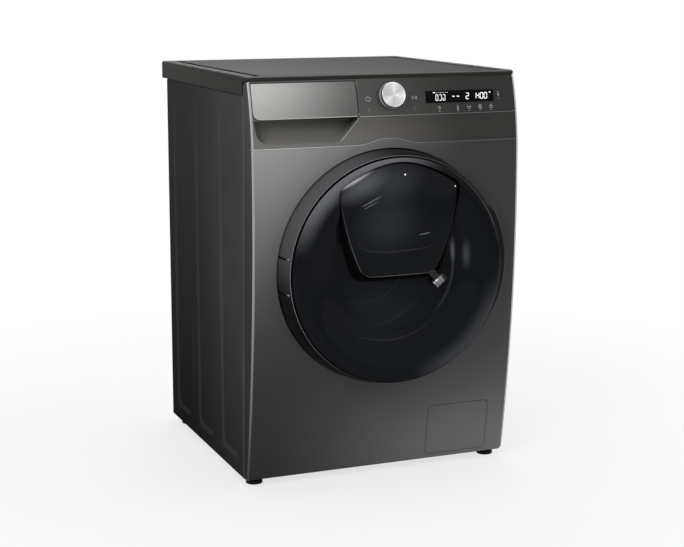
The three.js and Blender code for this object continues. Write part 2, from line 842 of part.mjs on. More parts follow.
// Front surface of the tinted cover: a raised rim round a shallow dish.
function coverFront(offset, steps = 5) {
  const crest = coverRadius - 20;
  const dish = coverCrestReach - coverDish;
  const points = [[coverRadius, -(doorRingReach - 1)], [coverRadius - 5, -(coverCrestReach - 4)],
    [coverRadius - 12, -(coverCrestReach - 1)], [crest, -coverCrestReach]];
  for (let i = 1; i <= steps; i++) {
    const share = i / steps;
    const ease = (1 - Math.cos(share * Math.PI)) / 2;
    const r = crest + (coverDishRadius - crest) * share;
    points.push([r, -(coverCrestReach + (dish - coverCrestReach) * ease)]);
  }
  points.push([0, -dish]);
  return points.map(([r, y]) => [r, y + offset]);
}

const smallOutline = (grow) => roundedSmallDoor(grow);

// The small door: a broad-shouldered outline with an arched top edge.
function roundedSmallDoor(grow) {
  const half = smallTopWidth / 2 + grow;
  const waist = smallWaistWidth / 2 + grow;
  const foot = smallBottomWidth / 2 + grow;
  const low = smallLow - grow;
  const shoulder = smallShoulder + grow / 2;
  const peak = smallPeak + grow;
  const round = smallTopRound + grow;
  const bottomRound = smallBottomRound + grow;
  const shape = new THREE.Shape();
  shape.moveTo(-foot + bottomRound, low);
  shape.lineTo(foot - bottomRound, low);
  shape.quadraticCurveTo(foot, low, foot + bottomRound * 0.35, low + bottomRound);
  shape.quadraticCurveTo(waist - 1, smallWaistHeight - 20, half - 2, shoulder - round);
  shape.quadraticCurveTo(half, shoulder, half - round * 0.8, shoulder + round * 0.55);
  shape.quadraticCurveTo(half * 0.38, peak, 0, peak);
  shape.quadraticCurveTo(-half * 0.38, peak, -half + round * 0.8, shoulder + round * 0.55);
  shape.quadraticCurveTo(-half, shoulder, -half + 2, shoulder - round);
  shape.quadraticCurveTo(-waist + 1, smallWaistHeight - 20, -foot - bottomRound * 0.35, low + bottomRound);
  shape.quadraticCurveTo(-foot, low, -foot + bottomRound, low);
  return shape;
}

// The throat behind the small door narrows as it runs back to the drum.
function throatRing(share, grow) {
  const top = smallTopWidth / 2 - chuteInset;
  const foot = smallBottomWidth / 2 - 2;
  const halfTop = top + (bowlBackRadius * 0.56 - top) * share + grow;
  const halfFoot = foot + (bowlBackRadius * 0.5 - foot) * share + grow;
  const mouthTop = smallPeak - chuteInset;
  const mouthFoot = smallLow + chuteInset;
  const high = mouthTop + (doorHeight + bowlBackRadius * 0.8 - mouthTop) * share + grow;
  const low = mouthFoot + (doorHeight + 14 - mouthFoot) * share - grow;
  const side = high - 22;
  const shape = roundedOutline([
    [-halfFoot, low, 20], [halfFoot, low, 20], [halfTop, side, 16], [0, high, 60], [-halfTop, side, 16],
  ]);
  return shape.getPoints(4);
}

// A closed body through rings of matching points, one ring for each y.
function lofted(rings) {
  const count = rings[0].points.length;
  const positions = [];
  const faces = [];
  rings.forEach(({ y, points }) => points.forEach((p) => positions.push(p.x, y, p.y)));
  for (let k = 0; k + 1 < rings.length; k++) {
    for (let i = 0; i < count; i++) {
      const a = k * count + i;
      const b = k * count + (i + 1) % count;
      faces.push(a, b, b + count, a, b + count, a + count);
    }
  }
  const last = (rings.length - 1) * count;
  for (const [a, b, c] of THREE.ShapeUtils.triangulateShape(rings[0].points, [])) {
    faces.push(c, b, a);
    faces.push(last + a, last + b, last + c);
  }
  const body = new THREE.BufferGeometry();
  body.setAttribute("position", new THREE.Float32BufferAttribute(positions, 3));
  body.setIndex(faces);
  return body;
}

function throat(grow, frontReach = coverCrestReach + 12) {
  const back = bowlBackReach - 20;
  const start = smallDoorBackReach - plugDepth - 2;
  const unique = (share) => {
    const points = throatRing(share, grow);
    return points.filter((p, i) => p.distanceTo(points[(i + 1) % points.length]) > 1e-3);
  };
  return lofted([
    { y: -frontReach, points: unique(0) },
    { y: -start, points: unique(0) },
    { y: -doorBackReach - 8, points: unique(0.75) },
    { y: -back, points: unique(1) },
  ]);
}

function smallPocket(grow) {
  return frontPlate(smallOutline(runningGap + grow), -coverCrestReach - 20, -smallPocketReach + grow);
}

function doorCover() {
  const front = coverFront(0);
  const back = coverFront(coverWall, 3).filter((point, i) => i !== 2).reverse();
  const shell = turned([...back, ...front]);
  const behind = -smallPocketReach + smallPocketWall + fit;
  const rim = coverRadius - ringLipWidth - 1;
  const filled = turned([[0, behind], [rim, behind], [rim, -doorRingReach + 1 + coverWall],
    [coverRadius, -doorRingReach + 1 + coverWall], ...front]);
  return cut(join(shell, common(smallPocket(smallPocketWall), filled)), smallPocket(0), throat(0));
}

function doorBowl() {
  const flangeFront = -doorBackReach - innerFrameThickness - fit - bowlWall;
  const flangeBack = flangeFront + bowlWall;
  const outside = (inset) => [
    [bowlRadius - inset, flangeFront], [bowlRadius - inset, flangeBack],
    [bowlRadius - 6 - inset, -bowlBackReach - 38], [bowlBackRadius - inset, -bowlBackReach - 12 - inset],
    [bowlBackRadius - 16 - inset, -bowlBackReach - 2 - inset], [bowlBackRadius - 50, -bowlBackReach - inset],
    [0, -bowlBackReach - inset],
  ];
  const rim = bowlRadius + bowlFlange;
  const full = (front) => turned([[0, front], [rim, front], [rim, flangeBack], ...outside(0).slice(1)],
    tubSides);
  const shell = cut(full(flangeFront),
    turned([[0, flangeFront - 5], [bowlRadius - bowlWall, flangeFront - 5], ...outside(bowlWall).slice(1)],
      tubSides));
  const behindCover = turned([...coverFront(coverWall + fit), [0, -100], [coverRadius, -100]].map(
    ([r, y]) => [Math.min(r, coverRadius - ringLipWidth - 1), y]), tubSides);
  const walls = common(throat(chuteWall), full(-coverCrestReach - 2), behindCover);
  const pocketBack = frontPlate(smallOutline(runningGap + smallPocketWall + fit), -coverCrestReach - 20,
    -smallPocketReach + smallPocketWall + fit);
  return cut(join(shell, cut(walls, pocketBack)), throat(0));
}

function innerFrame() {
  const back = -doorBackReach;
  const front = back - innerFrameThickness;
  const outer = doorRingRadius - 4.5 - doorRingWall - fit;
  const plate = cut(
    turned([[bowlRadius + 9, front], [outer - 3, front], [outer - 3, front - 14], [outer, front - 14],
      [outer, back], [bowlRadius + 9, back]]),
    hingeNotch(-1), hingeNotch(1),
    block(hookX - 14, hookX + 14, -hookPivotReach - 10, -doorBackReach + 10, doorHeight - hookHeight / 2 - 3,
      doorHeight + hookHeight / 2 + 3));
  const ears = [-1, 1].map((side) => {
    const z = doorHeight + side * (hookHeight / 2 + fit);
    return block(hookX - hookEarWidth / 2, hookX + hookEarWidth / 2, -hookPivotReach - hookEarWidth / 2,
      front + 1, z, z + side * hookEarThickness);
  });
  return cut(join(plate, ...ears),
    barZ(hookPinRadius + fit, doorHeight - hookHeight, doorHeight + hookHeight, hookX, -hookPivotReach));
}

function hingeLeaf() {
  const half = hingeEarSpread - hingeEarThickness / 2 - fit;
  const knuckle = hingeEarWidth / 2;
  return join(
    barZ(knuckle, doorHeight - half, doorHeight + half, hingePinX, -hingePinReach),
    barZ(hingePinRadius, doorHeight - hingeEarSpread - 5, doorHeight + hingeEarSpread + 5, hingePinX,
      -hingePinReach, 16),
    block(hingePinX, hingePinX + 34, -hingePinReach - 3, -hingePinReach + 3, doorHeight - half,
      doorHeight + half),
    block(hingePinX + 28, hingePinX + 34, -doorRingReach + coverWall + doorRingWall + 3 * fit,
      -doorBackReach - innerFrameThickness - fit, doorHeight - half, doorHeight + half));
}

function hingeBracket() {
  const plateFront = -doorRecessReach + sheet + fit;
  const plateBack = plateFront + 3;
  const half = hingePlateHeight / 2;
  let bracket = block(hingePinX - hingeEarWidth / 2, hingePinX + 34, plateFront, plateBack, doorHeight - half,
    doorHeight + half);
  for (const side of [-1, 1]) {
    const z = doorHeight + side * hingeEarSpread;
    const low = z - hingeEarThickness / 2;
    const high = z + hingeEarThickness / 2;
    bracket = join(bracket,
      block(hingePinX - hingeEarWidth / 2, hingePinX + hingeEarWidth / 2, -hingePinReach, plateBack, low,
        high),
      barZ(hingeEarWidth / 2, low, high, hingePinX, -hingePinReach));
    bracket = cut(bracket, barZ(hingePinRadius + fit, low - 5, high + 5, hingePinX, -hingePinReach, 16));
  }
  return bracket;
}

function latchHook() {
  const half = hookThickness / 2;
  const outline = polygon([
    [hookX - half, -hookPivotReach], [hookX + half, -hookPivotReach], [hookX + half, -hookTipReach],
    [hookX - half - 6, -hookTipReach - 3], [hookX - half - 6, -hookTipReach - 8],
    [hookX - half, -hookTipReach - 8],
  ]);
  const pinEnd = hookHeight / 2 + hookEarThickness;
  return join(
    floorPlate(outline, doorHeight - hookHeight / 2, doorHeight + hookHeight / 2),
    barZ(half + 2, doorHeight - hookHeight / 2, doorHeight + hookHeight / 2, hookX, -hookPivotReach),
    barZ(hookPinRadius, doorHeight - pinEnd, doorHeight + pinEnd, hookX, -hookPivotReach));
}

function doorLock() {
  const front = -doorRecessReach + sheet + fit;
  const low = doorHeight - 40;
  const high = doorHeight + 40;
  return cut(
    block(hookX - 21, hookX + 24, front, front + 34, low, high),
    block(hookX - 15, hookX + 12, front - 5, front + 28, doorHeight - hookHeight / 2 - 4,
      doorHeight + hookHeight / 2 + 4));
}

// ---- small door ----
function smallDome(offset) {
  const reach = smallDoorReach - offset;
  const wide = smallTopWidth;
  const points = [];
  for (let i = 0; i <= 5; i++) {
    const r = wide * i / 5;
    points.push([r, -(reach - r * r / (2 * smallDomeRadius))]);
  }
  points.push([wide, -200], [0, -200]);
  const middle = (smallLow + smallPeak) / 2;
  return turned(points, 32).translate(0, 0, middle - doorHeight);
}

function smallDoorPanel() {
  return cut(
    common(frontPlate(smallOutline(0), -smallDoorReach - 5, -smallDoorBackReach), smallDome(0)),
    common(frontPlate(smallOutline(-smallDoorWall), -smallDoorReach - 5, -smallDoorBackReach + 5),
      smallDome(smallDoorWall)));
}

function smallDoorPlug() {
  const flangeBack = -smallDoorBackReach - fit;
  const flangeFront = flangeBack - 3;
  const back = flangeBack + plugDepth;
  const outer = lofted([
    { y: flangeFront, points: throatRing(0, -plugGap).slice(0, -1) },
    { y: flangeBack, points: throatRing(0, -plugGap).slice(0, -1) },
    { y: back, points: throatRing(0, -plugGap - 6).slice(0, -1) },
  ]);
  const inner = lofted([
    { y: flangeFront - 2, points: throatRing(0, -plugGap - 3).slice(0, -1) },
    { y: back - 3, points: throatRing(0, -plugGap - 9).slice(0, -1) },
  ]);
  return cut(join(frontPlate(smallOutline(-smallDoorWall - fit), flangeFront, flangeBack), outer), inner);
}

// Built along X at the origin, then turned and moved to the small door's lower corner.
function atSmallHinge(geometry) {
  return geometry.clone().rotateY(-THREE.MathUtils.degToRad(smallHingeTilt))
    .translate(smallHingeX, -smallHingeReach, smallHingeHeight);
}

function alongX(radius, x0, x1, sides = 24) {
  return new THREE.CylinderGeometry(radius, radius, Math.abs(x1 - x0), sides).rotateZ(Math.PI / 2)
    .translate((x0 + x1) / 2, 0, 0);
}

function smallHingeArm() {
  const half = smallBarrelLength / 2;
  const arm = cut(
    join(alongX(smallBarrelRadius, -half, half), block(-half + 4, half - 4, -3, 3, 0, 44)),
    alongX(smallPinRadius + fit, -half - 5, half + 5, 16));
  return cut(atSmallHinge(arm), frontPlate(smallOutline(fit), -smallDoorReach - 5, -smallDoorBackReach + 5));
}

function smallHingeBracket() {
  const half = smallBarrelLength / 2 + fit;
  const end = half + smallEarThickness;
  const coverFace = smallHingeReach - (coverCrestReach - coverDish) - fit;
  const ear = (x0, x1) => join(alongX(smallBarrelRadius, x0, x1),
    block(x0, x1, 0, coverFace, -smallBarrelRadius, smallBarrelRadius));
  return atSmallHinge(join(ear(-end, -half), ear(half, end),
    alongX(smallPinRadius, -end + 1, end - 1, 16),
    block(-end, end, coverFace - 2, coverFace, -smallBarrelRadius, smallBarrelRadius)));
}

// ---- drum ----
// The drum with its lifters: folded ribs, open on the drum's outside.
function drumShell() {
  const front = -drumFrontReach;
  const tip = drumRadius - lifterHeight;
  const rib = (wall) => {
    const half = lifterWidth / 2 - 1.5 * wall;
    const outline = roundedOutline([
      [-half, drumRadius + wall, 0], [half, drumRadius + wall, 0],
      [lifterTip - wall / 2, tip + wall, lifterTip / 2], [wall / 2 - lifterTip, tip + wall, lifterTip / 2],
    ]);
    return frontPlate(outline, front + lifterEndRoom + wall, drumBack - lifterEndRoom - wall);
  };
  const within = barY(drumRadius - drumWall / 2, front, drumBack, 0, 0, tubSides);
  let shell = drumSheet(drumRadius, drumWall, front);
  for (let i = 0; i < lifterCount; i++) {
    const turn = Math.PI / 3 + i * Math.PI * 2 / lifterCount;
    const outside = common(rib(0).rotateY(turn), within).translate(0, 0, doorHeight);
    shell = cut(join(shell, outside), rib(lifterWall).rotateY(turn).translate(0, 0, doorHeight));
  }
  return shell;
}

function drumSheet(r, w, front) {
  return turned([
    [drumMouthRadius, front - 6], [r - 12, front], [r - 3, front + 4], [r, front + 12], [r, drumBack - 4],
    [r - 4, drumBack], [shaftRadius, drumBack], [shaftRadius, drumBack - w], [r - 4 - w / 2, drumBack - w],
    [r - w, drumBack - 4 - w / 2], [r - w, front + 12], [r - 3 - w, front + 4 + w], [r - 12, front + w],
    [drumMouthRadius, front - 6 + w],
  ], tubSides);
}

function drumSpider() {
  const start = drumBack + fit;
  let spider = join(
    barY(tubHubRadius, start, start + spiderThickness, 0, doorHeight),
    barY(shaftRadius, start, pulleyStart + pulleyWidth + 4, 0, doorHeight));
  for (let i = 0; i < 3; i++) {
    const arm = block(-spiderArmWidth / 2, spiderArmWidth / 2, start, start + spiderThickness - 4, 0,
      drumRadius - 12);
    arm.rotateY(i * Math.PI * 2 / 3).translate(0, 0, doorHeight);
    spider = join(spider, arm);
  }
  return spider;
}

function drumPulley() {
  const start = pulleyStart;
  const end = pulleyStart + pulleyWidth;
  const web = end - 5;
  let pulley = turned([
    [shaftRadius + fit, start], [28, start], [28, web], [pulleyRadius - 7, web], [pulleyRadius - 7, start],
    [pulleyRadius, start], [pulleyRadius, end], [shaftRadius + fit, end],
  ], tubSides);
  for (let i = 0; i < 5; i++) {
    const angle = i * Math.PI * 2 / 5;
    const r = (pulleyRadius + 28) / 2;
    pulley = cut(pulley, barY(pulleyRadius * 0.24, start - 1, end + 1, r * Math.cos(angle),
      doorHeight + r * Math.sin(angle), 10));
  }
  return pulley;
}

function beltLoop(grow) {
  const dx = motorX;
  const dz = motorHeight - doorHeight;
  const span = Math.hypot(dx, dz);
  const lean = Math.atan2(dz, dx);
  const big = pulleyRadius + grow;
  const small = motorPulleyRadius + grow;
  const open = Math.acos((big - small) / span);
  const shape = new THREE.Shape();
  shape.absarc(0, doorHeight, big, lean + open, lean - open + Math.PI * 2, false);
  shape.absarc(dx, motorHeight, small, lean - open, lean + open, false);
  return shape;
}

function driveBelt() {
  const band = beltLoop(beltSlack + beltThickness);
  band.holes.push(beltLoop(beltSlack));
  return new THREE.ExtrudeGeometry(band, { depth: pulleyWidth - 4, bevelEnabled: false, curveSegments: 22 })
    .rotateX(Math.PI / 2).translate(0, pulleyStart + pulleyWidth - 2, 0);
}

// ---- tub ----
function tubFront() {
  const front = -tubFrontReach;
  const shell = turned([
    [tubMouthRadius, front], [tubOuter - 6, front], [tubOuter, front + 6], [tubOuter, tubSplit - 4],
    [tubOuter + tubFlange, tubSplit - 4], [tubOuter + tubFlange, tubSplit], [tubInner, tubSplit],
    [tubInner, front + 6 + tubWall / 2], [tubInner - 4, front + tubWall], [tubMouthRadius, front + tubWall],
  ], tubSides);
  return shell;
}

const springLugTop = doorHeight + Math.sqrt(tubOuter ** 2 - (springX - 13) ** 2) + 12;
const damperLugLow = doorHeight - Math.sqrt(tubOuter ** 2 - damperX ** 2) - 22;

function tubRear() {
  const hubFront = tubBack - tubWall - tubHubLength / 2 - 4;
  const hubBack = hubFront + tubHubLength;
  const start = tubSplit + fit;
  const shell = turned([
    [tubInner, start], [tubOuter + tubFlange, start], [tubOuter + tubFlange, start + 4],
    [tubOuter, start + 4], [tubOuter, tubBack - 8], [tubOuter - 8, tubBack], [tubHubRadius, tubBack], [tubHubRadius, hubBack],
    [bearingRadius, hubBack], [bearingRadius, hubFront], [tubHubRadius, hubFront],
    [tubHubRadius, tubBack - tubWall], [tubInner - 6, tubBack - tubWall], [tubInner, tubBack - 10],
  ], tubSides);
  const springLug = (side) => block(side * (springX - 13), side * (springX + 13), springY - 14, springY + 14,
    springLugTop - 42, springLugTop);
  const damperLug = (side) => block(side * (damperX - 14), side * (damperX + 14), damperY - 14, damperY + 14,
    damperLugLow, damperLugLow + 50);
  let body = join(shell, springLug(-1), springLug(1), damperLug(-1), damperLug(1));
  for (let i = 0; i < 6; i++) {
    const rib = block(tubHubRadius - 2, tubOuter - 12, tubBack - 1, tubBack + 7, -2, 2);
    body = join(body, rib.rotateY(i * Math.PI / 3 + 0.2).translate(0, 0, doorHeight));
  }
  return cut(body, barY(tubInner, start - 5, tubBack - 20, 0, doorHeight, tubSides));
}

// Two races pressed into one sleeve.
function bearingCartridge() {
  const start = tubBack - tubWall - tubHubLength / 2 - 4 + 1;
  const end = start + tubHubLength - 2;
  const race = roundHole(shaftRadius);
  const outer = bearingRadius - fit;
  return turned([
    [race, start], [outer, start], [outer, end], [race, end], [race, end - bearingWidth],
    [outer - 3, end - bearingWidth], [outer - 3, start + bearingWidth], [race, start + bearingWidth],
  ], barSides);
}

function counterweight(middle) {
  const half = THREE.MathUtils.degToRad(weightSpan / 2);
  const shape = new THREE.Shape();
  shape.absarc(0, doorHeight, weightOuter, middle - half, middle + half, false);
  shape.absarc(0, doorHeight, weightInner, middle + half, middle - half, true);
  shape.closePath();
  const plate = new THREE.ExtrudeGeometry(shape, {
    depth: weightThickness, bevelEnabled: false, curveSegments: 8,
  });
  return plate.rotateX(Math.PI / 2).translate(0, -tubFrontReach - fit, 0);
}

function gasket() {
  const lip = -doorRecessReach - fit;
  const hole = portholeRadius - 2 * fit;
  const r = gasketRadius;
  const floorBack = -doorRecessReach + sheet + fit;
  const end = -tubFrontReach - fit;
  const outer = [
    [hole + 4, lip - 1.5], [hole + 4, lip], [hole, lip], [hole, floorBack], [r, floorBack + 10],
    [r - 8, (floorBack + end) / 2], [r, end - 10], [r, end],
  ];
  const inner = outer.slice(3).map(([radius, y]) => [radius - gasketWall - 1, y]).reverse();
  return turned([...outer, ...inner, [hole - gasketWall - 1, lip - 1.5]], tubSides);
}

function motor() {
  const end = pulleyStart - 12;
  const start = end - motorLength;
  return cut(
    join(
      barY(motorRadius, start, end, motorX, motorHeight),
      barY(motorRadius * 0.45, end - 1, end + 5, motorX, motorHeight, 24),
      block(motorX - 40, motorX + 40, start + 8, end - 12, motorHeight + 20, motorHeight + 110)),
    barY(tubOuter + fit, start - 50, end + 50, 0, doorHeight, tubSides),
    barY(motorShaftRadius + fit, start + 10, end + 10, motorX, motorHeight, 24));
}

function motorPulley() {
  return join(
    barY(motorPulleyRadius, pulleyStart, pulleyStart + pulleyWidth, motorX, motorHeight, 24),
    barY(motorShaftRadius, pulleyStart - motorLength + 10, pulleyStart + pulleyWidth + 3, motorX,
      motorHeight, 24));
}

function extrudedAlong(path, radius, steps, sides) {
  const ring = [];
  for (let i = 0; i < sides; i++) {
    const angle = i * Math.PI * 2 / sides;
    ring.push([radius * Math.cos(angle), radius * Math.sin(angle)]);
  }
  return new THREE.ExtrudeGeometry(polygon(ring), { steps, bevelEnabled: false, extrudePath: path });
}

function tube(points, radius, steps, sides = 8) {
  const path = new THREE.CatmullRomCurve3(points.map((p) => new THREE.Vector3(...p)), false, "centripetal");
  return extrudedAlong(path, radius, steps, sides);
}

function heater() {
  const z = doorHeight - (drumRadius + tubInner) / 2;
  const half = heaterSpacing / 2;
  const front = -tubFrontReach + tubWall + fit;
  const end = front + heaterLength;
  const bend = tube([
    [-half, front + 3, z], [-half, (front + end) / 2, z], [-half, end - half, z],
    [-half * 0.7, end - half * 0.3, z],
    [0, end, z], [half * 0.7, end - half * 0.3, z], [half, end - half, z], [half, (front + end) / 2, z],
    [half, front + 3, z],
  ], heaterTubeRadius, 20, 6);
  return join(bend, block(-half - 6, half + 6, front, front + 6, z - 4, z + 8));
}

class Helix extends THREE.Curve {
  constructor(radius, low, high, turns, x, y) {
    super();
    Object.assign(this, { radius, low, high, turns, x, y });
  }

  getPoint(t, target = new THREE.Vector3()) {
    const angle = t * this.turns * Math.PI * 2;
    return target.set(this.x + this.radius * Math.cos(angle), this.y + this.radius * Math.sin(angle),
      this.low + (this.high - this.low) * t);
  }
}

function suspensionSpring(side) {
  const low = springLugTop + springWire / 2 + 3;
  const high = sideTop - springTabDrop - springWire / 2 - 3;
  const x = side * springX;
  return join(
    extrudedAlong(new Helix(springRadius - springWire, low, high, springTurns, x, springY), springWire / 2,
      springTurns * 7, 4),
    barZ(springRadius - 1, springLugTop + fit, low + 1, x, springY, 12),
    barZ(springRadius - 1, high - 1, sideTop - springTabDrop - fit, x, springY, 12));
}

function damperCylinder(side) {
  const foot = panLow + panWall + fit;
  return cut(
    barZ(damperRadius, foot, damperTop, side * damperX, damperY),
    barZ(damperRodRadius + fit, foot + 14, damperTop + 5, side * damperX, damperY));
}

const damperRod = (side) => barZ(damperRodRadius, damperRodFoot, damperLugLow - fit, side * damperX, damperY);

// ---- feet, filter and water parts ----
function foot() {
  const pad = new THREE.LatheGeometry([
    [0, 0], [footRadius, 0], [footRadius, footHeight - 3], [footRadius - 4, footHeight],
    [stemRadius, footHeight], [stemRadius, footHeight + stemLength], [0, footHeight + stemLength],
  ].map(([r, y]) => new THREE.Vector2(r, y)), 14).rotateX(Math.PI / 2);
  const nutLow = footHeight + fit;
  return join(pad, barZ(nutRadius, nutLow - 1, nutLow - 1 + nutHeight, 0, 0, 6));
}

function drainPump() {
  const front = pumpFront;
  const floor = panLow + panWall + fit;
  const footFront = Math.max(front, -panFrontReach + panWall) + 20;
  return cut(
    join(
      barY(filterRadius + 6, front, front + 8, filterX, filterHeight),
      barY(filterRadius, front, front + 95, filterX, filterHeight),
      barY(pumpRadius, front + 90, front + 135, filterX, filterHeight),
      barY(pumpMotorRadius, front + 130, front + 190, filterX, filterHeight),
      block(filterX - 24, filterX + 24, footFront, front + 130, floor, filterHeight)),
    barY(roundHole(filterPlugRadius), front - 5, front + 80, filterX, filterHeight));
}

function filterCap() {
  const front = -filterCapReach;
  const back = front + filterCapThickness;
  return join(
    barY(filterCapRadius, back - 5, back, filterX, filterHeight),
    barY(filterPlugRadius, back - 1, back + 40, filterX, filterHeight),
    block(filterX - 22, filterX + 22, front, back - 4, filterHeight - 4, filterHeight + 4));
}

function inletValve() {
  const back = rearPanelFront - fit;
  return cut(
    join(
      block(inletX - 24, inletX + 24, back - 30, back, inletHeight - 20, inletHeight + 20),
      barY(inletRadius, back - 5, cabinetRear + spigotLength, inletX, inletHeight)),
    barY(inletRadius - 3, cabinetRear + spigotLength - 12, cabinetRear + spigotLength + 5, inletX,
      inletHeight));
}

function powerGland() {
  const back = rearPanelFront - fit;
  return join(
    barY(glandRadius + 4, back - 4, back, glandX, glandHeight),
    barY(glandRadius, back - 10, rearPanelBack + 5, glandX, glandHeight),
    barY(glandRadius + 3, rearPanelBack + fit, rearPanelBack + 5, glandX, glandHeight));
}

// The two hoses that flex as the tub bounces.
function sumpHose() {
  const y = pumpFront + 112;
  const tubLow = doorHeight - Math.sqrt((tubOuter + fit) ** 2 - 40 ** 2);
  const run = tube([
    [20, y, tubLow + 12], [30, y, tubLow - 20], [60, y, tubLow - 50], [110, y, filterHeight + 6],
    [filterX - pumpRadius + 4, y, filterHeight],
  ], hoseRadius, 12);
  return cut(run, barY(tubOuter + fit, -tubFrontReach, tubBack, 0, doorHeight, tubSides),
    barY(pumpRadius + fit, y - 40, y + 40, filterX, filterHeight));
}

function dispenserHose() {
  const x = (housingLeft + housingRight) / 2;
  const y = -housingRearReach - 40;
  const tubTop = doorHeight + Math.sqrt((tubOuter + fit) ** 2 - (x + hoseRadius) ** 2);
  return cut(barZ(hoseRadius, tubTop - 40, housingLow - fit, x, y),
    barY(tubOuter + fit, -tubFrontReach, tubBack, 0, doorHeight, tubSides));
}

function inletHose() {
  const rear = rearPanelFront - 30 - fit;
  return tube([
    [inletX, rear - fit, inletHeight], [inletX, rear - 30, inletHeight],
    [inletX + 20, 60, inletHeight + 14], [inletX + 20, 0, inletHeight + 14],
    [inletX + 20, -housingRearReach + fit, inletHeight + 14],
  ], inletRadius - 2, 10);
}

// The drain hose ends in a flanged spigot seated in the rear panel.
function drainHose() {
  const back = rearPanelFront - fit;
  const pumpEnd = pumpFront + 190;
  const rise = cabinetRear - 28;
  const side = filterX + pumpRadius + 28;
  const low = filterHeight - 18;
  const run = tube([
    [filterX + pumpRadius - 4, pumpEnd - 75, filterHeight], [side - 8, pumpEnd - 60, low + 6],
    [side, pumpEnd, low], [side, rise - 110, low], [side, rise - 25, low + 22], [side - 2, rise, low * 2.58],
    [side - 6, rise + 1, outletHeight - 345], [outletX + 8, rise, outletHeight - 120],
    [outletX, rise, outletHeight - 50], [outletX, rise + 4, outletHeight - 14],
    [outletX, back - 7, outletHeight],
  ], outletRadius - 2, 24, 6);
  return cut(
    join(cut(run, barY(pumpRadius + fit, pumpEnd - 150, pumpEnd, filterX, filterHeight)),
      barY(outletRadius + 7, back - 9, back, outletX, outletHeight),
      barY(outletRadius, back - 5, cabinetRear + spigotLength, outletX, outletHeight)),
    barY(outletRadius - 3, cabinetRear, cabinetRear + spigotLength + 5, outletX, outletHeight));
}

// ---- finishes ----
function finish(color, roughness, metalness) {
  return new THREE.MeshStandardMaterial({ color, roughness, metalness });
}

const graphite = finish("#4c4b49", 0.35, 0.7);
const sidePaint = finish("#333332", 0.5, 0.4);
const brushedFront = finish("#9a9993", 0.3, 0.8);
const darkPlastic = finish("#2b2d2f", 0.5, 0.1);
const tinted = finish("#14161a", 0.08, 0.1);
const clearPlastic = finish("#9aa0a6", 0.1, 0);
const spunMetal = finish("#c9cacd", 0.25, 1);
const zinc = finish("#a5a8aa", 0.4, 0.9);
const whitePlastic = finish("#d9dad8", 0.5, 0);
const greyRubber = finish("#6c6f70", 0.8, 0);
const blackRubber = finish("#141414", 0.85, 0);
const castIron = finish("#55524f", 0.8, 0.3);
const stainless = finish("#b9bcbe", 0.25, 1);
const circuitGreen = finish("#1d5a3a", 0.6, 0.1);

// ---- assembly ----
const appliance = new THREE.Group();
appliance.position.y = frameShift;

function place(name, geometry, material, parent = appliance) {
  const mesh = new THREE.Mesh(closed(geometry), material);
  mesh.name = name;
  parent.add(mesh);
  return mesh;
}

place("worktop_frame", worktopFrame(), sidePaint);
place("worktop_board", worktopBoard(), graphite);
place("side_panel_left", sidePanel(), sidePaint);
place("side_panel_right", sidePanel().scale(-1, 1, 1), sidePaint);
place("rear_panel", rearPanel(), zinc);
place("rear_access_cover", rearCover(), zinc);
place("base_pan", basePan(), darkPlastic);
place("front_panel", frontPanel(), graphite);
place("control_fascia", controlFascia(), graphite);
place("display_window", displayWindow(), tinted);
place("drawer_housing", drawerHousing(), whitePlastic);
place("drawer_front", drawerFront(), brushedFront);
place("drawer_tray", drawerTray(), whitePlastic);
place("siphon_cap", siphonCap(), clearPlastic);

const knobSeat = new THREE.Group();
knobSeat.position.set(knobX, -skinReach(knobHeight), knobHeight);
knobSeat.rotation.x = -Math.PI - skinTilt();
appliance.add(knobSeat);
place("selector_knob", selectorKnob(), spunMetal, knobSeat);

const boardSeat = new THREE.Group();
const boardBehind = fasciaWall + fit + encoderDepth;
boardSeat.position.set(0, -skinReach(knobHeight) + boardBehind * Math.cos(skinTilt()),
  knobHeight - boardBehind * Math.sin(skinTilt()));
boardSeat.rotation.x = -skinTilt();
appliance.add(boardSeat);
place("control_board", controlBoard(), circuitGreen, boardSeat);

place("door_ring", doorRing(), darkPlastic);
place("door_cover", doorCover(), tinted);
place("door_bowl", doorBowl(), clearPlastic);
place("door_inner_frame", innerFrame(), darkPlastic);
place("door_hinge_leaf", hingeLeaf(), zinc);
place("door_hinge_bracket", hingeBracket(), zinc);
place("latch_hook", latchHook(), zinc);
place("door_lock", doorLock(), whitePlastic);
place("small_door_panel", smallDoorPanel(), tinted);
place("small_door_plug", smallDoorPlug(), clearPlastic);
place("small_door_hinge", smallHingeArm(), spunMetal);
place("small_hinge_bracket", smallHingeBracket(), spunMetal);

place("door_gasket", gasket(), greyRubber);
place("tub_front", tubFront(), whitePlastic);
place("tub_rear", tubRear(), whitePlastic);
place("bearing_cartridge", bearingCartridge(), stainless);
place("counterweight_upper", counterweight(Math.PI / 2), castIron);
place("counterweight_lower", counterweight(-Math.PI / 2), castIron);
place("heater", heater(), stainless);
place("motor", motor(), zinc);
place("motor_pulley", motorPulley(), stainless);
place("drive_belt", driveBelt(), blackRubber);
place("drum_shell", drumShell(), stainless);
place("drum_spider", drumSpider(), zinc);
place("drum_pulley", drumPulley(), zinc);
for (const [side, name] of [[-1, "left"], [1, "right"]]) {
  place(`suspension_spring_${name}`, suspensionSpring(side), stainless);
  place(`damper_cylinder_${name}`, damperCylinder(side), darkPlastic);
  place(`damper_rod_${name}`, damperRod(side), stainless);
}

